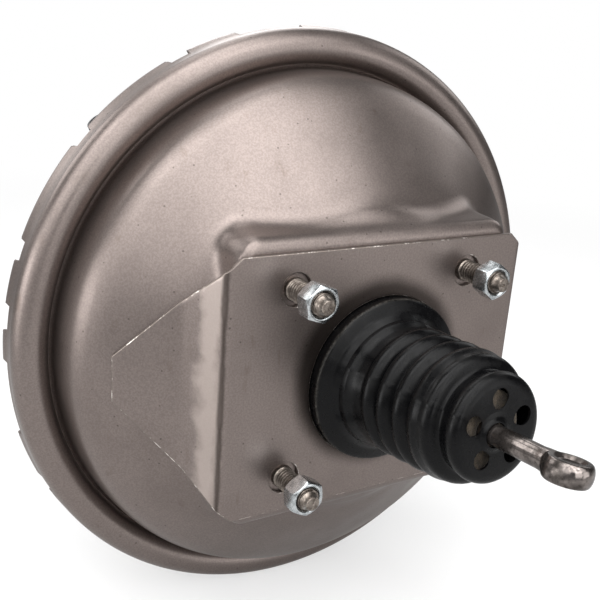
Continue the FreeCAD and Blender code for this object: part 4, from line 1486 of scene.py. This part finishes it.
    def build(self, rubber: bpy.types.Material) -> None:
        """Builds the flange with the first ridges, and the cap with the last one.

        Args:
            rubber: The boot's rubber.
        """
        bellows: list[Point] = []
        for number, (r, s) in enumerate(self.crests):
            if number:
                bellows += [(r - 1.9, s + 2.1)]
            bellows += [(r - 0.55, s + 0.95), (r, s), (r - 0.45, s - 1.0), (r - 1.7, s - 2.1)]
            bellows += [(self.valley + 0.6, s - 3.7), (self.valley, s - 5.0), (self.valley + 0.6, s - 6.2)]
        outer = flowing(list(self.flange) + bellows[:-1] + list(self.tuck), 0.6)
        inner = [p for p in beside(outer, -self.wall) if p[1] < -12.5]
        inner = inner[::-1] + [(29.4, -9.0), (30.0, -6.0), (30.0, 1.9)]
        lower = self.moulded(turned("dust_boot_bellows", outer + inner, self.steps), rubber)
        bridged(lower, Body.HOUSING, Body.PISTON, "dust_boot")
        outer = flowing(self.cap, 0.5)
        inner = [p for p in beside(outer, -self.wall * 0.85)[::-1] if p[1] > -74.4 and p[0] > 5.4]
        upper = turned("dust_boot_cap", outer + inner, self.steps)
        for i in range(self.vents):
            angle = math.radians(90.0 + 360.0 * i / self.vents)
            centre = (self.vent_circle * math.cos(angle), -74.0, self.vent_circle * math.sin(angle))
            joined(upper, rod("vent", self.vent, 5.0, centre, "Y", 40), "DIFFERENCE")
        edit(upper)
        bpy.ops.mesh.remove_doubles(threshold=0.12 * MM)
        # Faces that a vent cut are still flat here, and would not be after the boot leans.
        bpy.ops.mesh.select_all(action="DESELECT")
        bpy.ops.mesh.select_face_by_sides(number=4, type="GREATER")
        bpy.ops.mesh.quads_convert_to_tris()
        bpy.ops.object.mode_set(mode="OBJECT")
        self.moulded(upper, rubber)
        bridged(upper, Body.AIR_VALVE, Body.PUSH_ROD, "dust_boot")


@dataclass
class PushRod:
    """The forged pedal rod with its eye and ball, and the felt silencer that rides on it."""

    tilt: float = 4.6
    roll: float = 13.5
    ball_y: float = -30.0
    radius: float = 4.3
    eye_s: float = -110.3
    eye: tuple[Point, ...] = (
        (0.0, -4.3), (7.5, -4.3), (8.1, -4.0), (8.7, -3.0), (9.1, -1.6), (9.22, 0.0), (9.1, 1.6), (8.7, 3.0),
        (8.1, 4.0), (7.5, 4.3), (0.0, 4.3))
    eye_radius: float = 9.2
    eye_bore: float = 4.9
    eye_thickness: float = 8.6
    ball: float = 5.95
    voxel: float = 0.42
    pad: tuple[Point, ...] = ((4.32, -69.6), (16.4, -69.6), (16.4, -63.5), (4.32, -63.5))

    def build(self, steel: bpy.types.Material, felt: bpy.types.Material) -> None:
        """Builds the rod and the felt.

        Args:
            steel: The rod's forged finish.
            felt: The felt's finish.
        """
        neck_s = self.eye_s + self.eye_radius
        shaft = turned("push_rod_forging", [
            (0.0, neck_s - 4.0), (4.75, neck_s - 4.0), (4.55, neck_s + 0.5), (self.radius, neck_s + 3.0),
            (self.radius, -38.6), (3.6, -36.6), (3.5, -33.5), (0.0, -33.5)], 56)
        eye = placed(turned("eye", self.eye, 96), (0, self.eye_s, 0), (90, 0, 0))
        joined(shaft, eye)
        bpy.ops.object.select_all(action="DESELECT")
        bpy.ops.mesh.primitive_uv_sphere_add(segments=48, ring_count=24, radius=self.ball * MM,
                                             location=(0, self.ball_y * MM, 0))
        joined(shaft, baked(bpy.context.object))
        applied(shaft, "REMESH", mode="VOXEL", voxel_size=self.voxel * MM)
        applied(shaft, "SMOOTH", factor=0.5, iterations=5)
        bore = rod("bore", self.eye_bore, 30.0, (0, self.eye_s, 0), "Z", 72)
        joined(shaft, bore, "DIFFERENCE")
        for side in (-1, 1):
            bpy.ops.object.select_all(action="DESELECT")
            bpy.ops.mesh.primitive_cone_add(
                vertices=72, radius1=(self.eye_bore - 0.3) * MM, radius2=(self.eye_bore + 1.9) * MM,
                depth=2.2 * MM, location=(0, self.eye_s * MM, side * (self.eye_thickness / 2.0 - 0.2) * MM),
                rotation=(0.0 if side > 0 else math.pi, 0.0, 0.0))
            joined(shaft, baked(bpy.context.object), "DIFFERENCE")
        placed(shaft, turn=(0, self.roll, 0))
        placed(shaft, turn=(-self.tilt, 0, 0), about=(0, self.ball_y, 0))
        smoothed(dressed(shaft, steel), 40.0)
        settle(shaft, Body.PUSH_ROD, Slot.ROD, "push_rod")
        pad = turned("silencer_felt_pad", eased(self.pad, 0.7), 96)
        placed(pad, turn=(-self.tilt, 0, 0), about=(0, self.ball_y, 0))
        smoothed(dressed(pad, felt), 40.0)
        settle(pad, Body.PUSH_ROD, Slot.FELT, "silencer_felt")


@dataclass
class FrontShell:
    """The deep drawn front half: flange, drum wall, flat ring, raised face and the seal's well."""

    line: tuple[Point, ...] = (
        (139.6, 76.0), (139.6, 78.0), (130.3, 78.0), (128.4, 78.9), (127.5, 81.0), (127.0, 86.0),
        (127.0, 112.0), (126.0, 118.0), (123.0, 124.0), (118.4, 128.8), (112.0, 132.4), (106.0, 135.3),
        (100.5, 138.8), (96.6, 140.7), (94.0, 141.0), (67.0, 141.0), (64.2, 141.4), (62.0, 143.2),
        (59.5, 147.2), (57.6, 149.3), (54.8, 150.0))
    well: tuple[Point, ...] = (
        (28.4, 150.0), (26.9, 149.6), (26.2, 148.4), (26.2, 145.4), (20.6, 145.4), (20.0, 144.8),
        (20.0, 138.0), (9.6, 138.0), (9.0, 137.4), (9.0, 136.0))
    inside: tuple[Point, ...] = (
        (139.6, 76.0), (131.0, 76.0), (128.2, 76.4), (126.2, 78.0), (125.4, 81.0), (125.0, 86.0),
        (125.0, 112.0), (124.1, 117.4), (121.3, 122.8), (117.1, 127.1), (111.0, 130.6), (105.2, 133.5),
        (99.8, 136.9), (96.0, 138.7), (93.7, 139.0), (66.8, 139.0), (63.0, 139.7), (60.4, 141.9),
        (57.8, 146.0), (56.4, 147.6), (54.0, 148.0), (29.0, 148.0), (28.2, 147.2), (28.2, 144.4),
        (22.0, 143.4), (22.0, 136.6), (21.4, 136.0), (9.0, 136.0))
    valve_hole: float = 9.5
    stud_hole: float = 4.98

    def build(self, steel: bpy.types.Material) -> None:
        """Builds the front shell.

        Args:
            steel: The phosphated steel.
        """
        outside = flowing(self.line[2:], 1.6)
        outline = list(self.line[:2]) + outside + list(self.well) + flowing(self.inside, 3.0)[::-1]
        shell = turned("front_shell_pressing", outline, 256)
        x, z = VALVE_PLACE
        joined(shell, rod("way", self.valve_hole, 16.0, (x, 141, z), sides=56), "DIFFERENCE")
        for side in (-1, 1):
            way = rod("way", self.stud_hole, 16.0, (side * CYLINDER_STUD_X, 149, 0), sides=48)
            joined(shell, way, "DIFFERENCE")
        smoothed(dressed(shell, steel), 35.0)
        settle(shell, Body.HOUSING, Slot.SHELL, "front_shell")


@dataclass
class CylinderStuds:
    """The two studs for the master cylinder."""

    thread: ThreadedStud = field(default_factory=ThreadedStud)

    def build(self, steel: bpy.types.Material) -> None:
        """Builds one stud and copies it.

        Args:
            steel: The studs' finish.
        """
        shank = self.thread.threads("shank", 151.5, 178.9)
        tip = turned("tip", eased([
            (0.0, 177.5), (4.3, 177.5), (4.3, 178.9), (3.7, 180.0), (0.0, 180.0)], 0.3), 40)
        head = turned("head", eased([
            (0.0, 143.8), (7.0, 143.8), (7.0, 147.95), (4.95, 147.95), (4.95, 150.25), (4.76, 150.6),
            (4.76, 151.7), (4.2, 152.3), (0.0, 152.3)], 0.3), 40)
        stud = self.thread.union("cylinder_stud", (shank, tip, head))
        smoothed(dressed(stud, steel), 34.0)
        for number, side in ((1, -1), (2, 1)):
            twin = copied(stud, "master_cylinder_stud_%d_threaded" % number)
            placed(twin, (side * CYLINDER_STUD_X, 0, 0))
            settle(twin, Body.HOUSING, Slot.STUD, "master_cylinder_stud_%d" % number)
        bpy.data.objects.remove(stud)


@dataclass
class CheckValve:
    """The vacuum check valve: grommet, two-part plastic body and barbed nipple."""

    nipple_y: float = 158.0
    nipple_angle: float = 130.0
    grommet: tuple[Point, ...] = (
        (6.0, 136.6), (10.6, 136.6), (12.0, 138.9), (9.45, 138.9), (9.45, 141.05), (12.6, 141.05),
        (12.6, 143.6), (11.0, 144.6), (6.0, 144.6))
    body: tuple[Point, ...] = (
        (3.0, 133.5), (5.95, 133.5), (5.95, 144.7), (11.5, 144.7), (11.5, 151.0), (9.2, 151.0),
        (9.2, 147.0), (3.0, 147.0))
    cap: tuple[Point, ...] = (
        (9.2, 151.05), (11.5, 151.05), (11.9, 151.5), (11.9, 152.5), (11.5, 153.0), (10.6, 154.2),
        (8.6, 164.0), (7.2, 165.5), (0.0, 165.5), (0.0, 162.5), (6.6, 162.5), (8.2, 154.0))

    def build(self, plastic: bpy.types.Material, rubber: bpy.types.Material) -> None:
        """Builds the valve's three outer pieces.

        Args:
            plastic: The moulded plastic.
            rubber: The grommet's rubber.
        """
        there = (VALVE_PLACE[0], 0, VALVE_PLACE[1])
        ring = turned("vacuum_grommet_ring", eased(self.grommet, 0.5), 72)
        smoothed(dressed(placed(ring, there), rubber), 40.0)
        settle(ring, Body.HOUSING, Slot.SEAL, "vacuum_grommet")
        body = turned("check_valve_base", eased(self.body, 0.35), 72)
        smoothed(dressed(placed(body, there), plastic))
        settle(body, Body.CHECK_VALVE, Slot.VALVE, "check_valve_body")
        cap = turned("check_valve_cover", eased(self.cap, 0.35), 72)
        barbs = [(0.0, -0.5), (4.9, -0.5)]
        for start in (16.0, 23.0, 30.0):
            barbs += [(4.9, start), (5.6, start + 0.3), (5.6, start + 1.6), (4.9, start + 3.9)]
        barbs += [(4.5, 34.0), (0.0, 34.0)]
        nipple = turned("nipple", eased(barbs, 0.3), 48)
        placed(nipple, turn=(0.0, 0.0, -90.0))
        placed(nipple, (0, self.nipple_y, 0), (0.0, -self.nipple_angle, 0.0))
        joined(cap, nipple)
        bore = turned("bore", [(0.0, 2.0), (3.1, 2.0), (3.1, 40.0), (0.0, 40.0)], 36)
        placed(bore, turn=(0.0, 0.0, -90.0))
        placed(bore, (0, self.nipple_y, 0), (0.0, -self.nipple_angle, 0.0))
        joined(cap, bore, "DIFFERENCE")
        smoothed(dressed(placed(cap, there), plastic))
        settle(cap, Body.CHECK_VALVE, Slot.VALVE, "check_valve_cap")


@dataclass
class Spring:
    """A round wire compression spring with its end coils closed."""

    name: str
    node: str
    mean: float
    wire: float
    start: float
    end: float
    turns: float
    body: Body
    joint: str
    anchor: float
    keep: float
    centre: Point = (0.0, 0.0)

    def build(self, steel: bpy.types.Material) -> None:
        """Builds the spring, which rides on its body.

        Args:
            steel: The spring's finish.
        """
        height = self.end - self.start - 2 * self.wire
        bpy.ops.object.select_all(action="DESELECT")
        bpy.ops.mesh.primitive_circle_add(vertices=12, radius=self.wire * MM,
                                          location=(self.mean * MM, 0.0, 0.0))
        thing = baked(bpy.context.object)
        thing.name = self.name
        steps = int(self.turns * 40)
        applied(thing, "SCREW", axis="Y", angle=math.tau * self.turns, screw_offset=height * MM,
                iterations=1, steps=steps, render_steps=steps)
        edit(thing)
        bpy.ops.mesh.fill_holes(sides=0)
        close(thing)
        placed(thing, (self.centre[0], self.start + self.wire, self.centre[1]))
        smoothed(dressed(thing, steel), 50.0)
        settle(thing, self.body, Slot.SPRING, self.node)
        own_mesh(thing)


@dataclass
class Inside:
    """What the shells hide: diaphragm, seals, springs and the piston's small pieces."""

    diaphragm: tuple[Point, ...] = (
        (30.0, 20.0), (58.0, 20.0), (66.0, 20.6), (80.0, 24.8), (95.0, 33.6), (104.0, 40.5), (107.0, 48.0),
        (112.0, 60.0), (117.4, 69.6), (121.0, 72.7), (130.0, 72.7))
    wall: float = 1.6
    stretch: Point = (73.5, 45.0)
    seals: dict[str, tuple[str, tuple[Point, ...]]] = field(default_factory=lambda: {
        "front_seal_lip": ("front_seal", (
            (7.05, 138.1), (19.95, 138.1), (19.95, 143.6), (13.0, 143.6), (12.0, 140.6), (9.6, 140.6),
            (8.6, 143.0), (7.05, 143.0))),
        "rear_seal_lip": ("rear_seal", (
            (17.55, -7.6), (19.0, -7.6), (19.6, -4.6), (22.45, -7.6), (22.45, -1.2), (17.55, -1.2)))})

    def build(self, rubber: bpy.types.Material, steel: bpy.types.Material) -> None:
        """Builds the diaphragm, the seals and the rubber discs.

        Args:
            rubber: Seal rubber.
            steel: Spring steel.
        """
        line = flowing(self.diaphragm, 1.2)
        # The diaphragm ends in a round bead, which the two shells grip.
        bead = arc((134.0, 70.3), 5.7, 158.0, -157.0, 30)
        outline = line + bead[::-1] + beside(line, -self.wall)[::-1]
        skin = turned("diaphragm_skin", outline, 200)
        smoothed(dressed(skin, rubber), 40.0)
        bridged(skin, Body.HOUSING, Body.PISTON, "diaphragm")
        for name, (node, outline) in self.seals.items():
            piece = smoothed(dressed(turned(name, eased(outline, 0.5), 72), rubber), 40.0)
            settle(piece, Body.HOUSING, Slot.SEAL, node)
        disc = turned("reaction_disc_pad", eased([
            (0.0, 30.1), (14.9, 30.1), (14.9, 36.0), (0.0, 36.0)], 0.6), 72)
        settle(smoothed(dressed(disc, rubber), 40.0), Body.PISTON, Slot.SEAL, "reaction_disc")
        pad = turned("poppet_pad", eased([
            (5.2, -0.6), (12.4, -0.6), (12.4, 1.2), (11.6, 2.25), (5.2, 2.25)], 0.4), 72)
        settle(smoothed(dressed(pad, rubber), 40.0), Body.POPPET, Slot.SEAL, "poppet")
        springs = (
            Spring("return_spring_coil", "return_spring", 33.0, 1.9, 24.75, 147.95, 6.5, Body.HOUSING,
                   "power_piston_stroke", 148.0, 0.74),
            Spring("valve_return_spring_coil", "valve_return_spring", 11.3, 0.8, -35.5, -12.65, 5.5,
                   Body.PISTON, "valve_travel", -12.65, 0.912),
            Spring("poppet_spring_coil", "poppet_spring", 9.0, 0.5, -9.75, -0.65, 4.0, Body.PISTON,
                   "poppet_travel", -9.75, 0.912),
            Spring("check_valve_spring_coil", "check_valve_spring", 4.4, 0.45, 148.65, 162.45, 5.0,
                   Body.CHECK_VALVE, "check_valve_lift", 162.45, 0.89, VALVE_PLACE))
        for spring in springs:
            spring.build(steel)


@dataclass
class Studio:
    """The camera at the photograph's place, a pale floor and soft studio light."""

    centre: tuple[float, float, float] = (-0.2287, -0.2926, 0.1508)
    azimuth: float = -32.37
    elevation: float = 18.02
    roll: float = 4.09
    lens: float = 53.99
    floor_z: float = -0.143
    distance: float = 1.15
    box: float = 0.55
    floor_colour: str = "#aeaeae"
    floor_glow: float = 0.55
    floor_mirrored: float = 0.3
    floor_fade: Point = (350.0, 1300.0)
    room: Point = (0.05, 0.2)
    # Each softbox has its turn from the pedal side towards the right and its height, in degrees, and its watts.
    boxes: tuple[tuple[float, float, float], ...] = (
        (-22.0, 35.0, 2.6), (-28.0, 62.0, 2.5), (0.0, 50.0, 1.6), (0.0, 30.0, 1.6), (0.0, 12.0, 2.4),
        (30.0, 2.0, 2.2), (25.0, 55.0, 3.0), (25.0, 30.0, 2.2), (-48.0, 25.0, 2.1), (-52.0, 48.0, 1.0),
        (-75.0, 60.0, 4.0), (-75.0, 35.0, 2.1), (-75.0, 10.0, 1.5), (-95.0, 0.0, 4.6), (0.0, 85.0, 3.9),
        (180.0, 60.0, 2.2), (155.0, 28.0, 2.6), (-140.0, 32.0, 2.6), (100.0, 30.0, 1.6))

    def camera(self) -> None:
        """The camera, with its lens set for a picture of 600 by 600, whose size is not set here."""
        data = bpy.data.cameras.new("camera")
        data.sensor_fit = "HORIZONTAL"
        data.sensor_width = 36.0
        data.lens = self.lens
        data.clip_start = 0.01
        thing = bpy.data.objects.new("camera", data)
        bpy.context.scene.collection.objects.link(thing)
        turn = Matrix.Rotation(math.radians(self.azimuth), 4, "Z")
        turn = turn @ Matrix.Rotation(math.radians(90.0 - self.elevation), 4, "X")
        turn = turn @ Matrix.Rotation(math.radians(self.roll), 4, "Z")
        thing.matrix_world = Matrix.Translation(self.centre) @ turn
        bpy.context.scene.camera = thing

    def softbox(self, name: str, turn: float, height: float, watts: float) -> None:
        """A square softbox that faces the booster.

        Args:
            name: The lamp's name.
            turn: Degrees from the pedal side towards the right.
            height: Degrees above the booster's axis.
            watts: Its power.
        """
        data = bpy.data.lights.new(name, "AREA")
        data.shape = "SQUARE"
        data.size = self.box
        data.energy = watts
        thing = bpy.data.objects.new(name, data)
        bpy.context.scene.collection.objects.link(thing)
        a, e = math.radians(turn), math.radians(height)
        way = Vector((math.sin(a) * math.cos(e), -math.cos(a) * math.cos(e), math.sin(e)))
        thing.location = Vector((0.0, 0.04, 0.0)) + way * self.distance
        thing.rotation_euler = way.to_track_quat("Z", "Y").to_euler()

    def floor(self) -> None:
        """A pale floor that keeps the booster's shadow."""
        bpy.ops.object.select_all(action="DESELECT")
        bpy.ops.mesh.primitive_grid_add(x_subdivisions=2, y_subdivisions=2, size=12.0,
                                        location=(0, 0, self.floor_z))
        floor = bpy.context.object
        floor.name = "floor"
        weave = Weave("pale_floor")
        weave.tree.nodes.remove(weave.shader)
        # The paint takes the shadow near the booster, and fades to plain white before the floor ends.
        near = weave.add("MapRange", {
            0: weave.away((0.0, 0.05, 0.0), (1.0, 1.0, 0.0)),
            1: self.floor_fade[0], 2: self.floor_fade[1], 3: 1.0, 4: 0.0}, SOFT)
        tone = weave.add("Mix", {0: near, 6: BLACK, 7: srgb(self.floor_colour)}, COLOURS, 2)
        paint = weave.add("BsdfDiffuse", {"Color": tone})
        path = add_node(weave.tree, "LightPath").outputs
        # Metal and glass show the white floor too, metal a dimmer one, or the drum's underside would wash out.
        mirrored = weave.add("Math", {0: path["Is Glossy Ray"], 1: self.floor_mirrored}, TIMES)
        seen = weave.add("Math", {0: mirrored, 1: path["Is Transmission Ray"]}, MOST)
        seen = weave.add("Math", {0: path["Is Camera Ray"], 1: seen}, MOST)
        bright = weave.add("MapRange", {0: near, 3: 1.0, 4: self.floor_glow})
        strength = weave.add("Math", {0: seen, 1: bright}, TIMES)
        glow = weave.add("Emission", {"Color": WHITE, "Strength": strength})
        both = weave.add("AddShader", {0: paint, 1: glow})
        weave.tree.links.new(both, weave.tree.nodes["Material Output"].inputs["Surface"])
        floor.data.materials.append(weave.material)

    def world(self) -> None:
        """White to the camera, and to the metal behind the booster, in a dim room, paler on the left."""
        world = bpy.data.worlds.new("studio")
        world.use_nodes = True
        bpy.context.scene.world = world
        tree = world.node_tree
        tree.nodes.clear()
        path = add_node(tree, "LightPath").outputs
        way = add_node(tree, "SeparateXYZ", {0: add_node(tree, "TexCoord").outputs["Generated"]}).outputs
        behind = add_node(tree, "MapRange", {0: way["Y"], 1: 0.4, 2: 1.0}, SOFT).outputs[0]
        mirrored = add_node(tree, "Math", {0: path["Is Glossy Ray"], 1: behind}, TIMES).outputs[0]
        seen = add_node(tree, "Math", {
            0: path["Is Camera Ray"], 1: path["Is Transmission Ray"]}, MOST).outputs[0]
        seen = add_node(tree, "Math", {0: seen, 1: mirrored}, MOST).outputs[0]
        dim, pale = self.room
        left = add_node(tree, "MapRange", {0: way["X"], 1: 0.3, 2: -1.0, 3: dim, 4: pale}, SOFT).outputs[0]
        strength = add_node(tree, "Mix", {0: seen, 2: left, 3: 1.0}, {"data_type": "FLOAT"}).outputs[0]
        glow = add_node(tree, "Background", {"Color": WHITE, "Strength": strength}).outputs[0]
        add_node(tree, "OutputWorld", {"Surface": glow})

    def build(self) -> None:
        """Sets up the camera, the lamps, the floor and the world."""
        self.camera()
        for number, (turn, height, watts) in enumerate(self.boxes, 1):
            self.softbox("softbox_%d" % number, turn, height, watts)
        self.floor()
        self.world()
        bpy.context.scene.view_settings.view_transform = "Standard"


def main() -> None:
    """Builds every sub-assembly in order, and the studio round it."""
    logging.basicConfig(level=logging.INFO, format="%(message)s")
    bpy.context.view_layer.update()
    bpy.ops.object.select_all(action="DESELECT")
    steel = PhosphatedSteel().build()
    plate_steel = PhosphatedSteel(
        "phosphated_plate",
        # The halos round the boot and the nuts are partly greasy dirt and partly painted shadow.
        halos=((*BOOT_PLACE, 38.5, 47.0),) + tuple((x, z, 7.5, 12.5) for x, z in STUD_PLACES),
        # The pale band is a painted highlight on the plate's sloped sides, and the dark one painted shade along
        # their folds.
        painted_bands=((79.4, 4.2, 0.62, "#bfb2ab"), (76.4, 1.3, 0.75, "#352d29"))).build()
    worn = WornEdge().build()
    zinc = ZincPlate().build()
    stud_steel = BareSteel("rolled_stud_steel", "#8e857d", "#5e5650", "#4a4039", 0.34, 2.4)
    rod_steel = BareSteel("forged_rod_steel", "#857d79", "#4a4542", "#332d29", 0.18, 6.0, 0.25)
    spring_steel = BareSteel("oiled_spring_wire", "#5f5c5a", "#3a3836", "#2c2927", 0.32, 4.0)
    light_alloy = BareSteel("turned_alloy", "#c9c9c7", "#a3a3a1", "#8a8885", 0.30, 4.0)
    boot_rubber = MouldedRubber("boot_rubber_moulded").build()
    seal_rubber = MouldedRubber("seal_rubber_moulded", "#151516", "#5b5854", 0.5).build()
    phenolic = MouldedPlastic("brown_phenolic", "#3d2a20", "#2d2019").build()
    nylon = MouldedPlastic("natural_nylon", "#d8d2c0", "#c6bda6", 0.35).build()
    valve_plastic = MouldedPlastic("black_valve_nylon", "#1f2022", "#151618").build()
    felt = PressedFelt().build()
    # The shell is painted black as shade where it shows in the plate's stud holes and under the boot.
    shell_steel = PhosphatedSteel(
        "phosphated_shell", dark_halo="#0b0a09",
        halos=tuple((x, z, 9.0, 11.0) for x, z in STUD_PLACES) + ((0.0, 0.0, 41.0, 43.0),)).build()
    RearShell().build(shell_steel)
    MountingPlate().build(plate_steel, worn)
    studs = stud_steel.build()
    FirewallFixings().build(studs, zinc)
    DustBoot().build(boot_rubber)
    PushRod().build(rod_steel.build(), felt)
    FrontShell().build(steel)
    CylinderStuds().build(studs)
    CheckValve().build(valve_plastic, seal_rubber)
    wire = spring_steel.build()
    Inside().build(seal_rubber, wire)
    alloy = light_alloy.build()
    kept = {
        "power_piston": phenolic, "rear_bearing": nylon, "front_seal_retainer": wire,
        "output_rod": alloy, "output_rod_retainer": wire, "diaphragm_plate": steel,
        "diaphragm_lock_ring": wire, "air_valve": alloy, "poppet_retainer": wire,
        "piston_filter_ring": nylon, "check_valve_disc": nylon}
    for node, finish in kept.items():
        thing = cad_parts[node]
        for place in thing.material_slots:
            place.material = finish
    Studio().build()


if __name__ == "__main__":
    main()
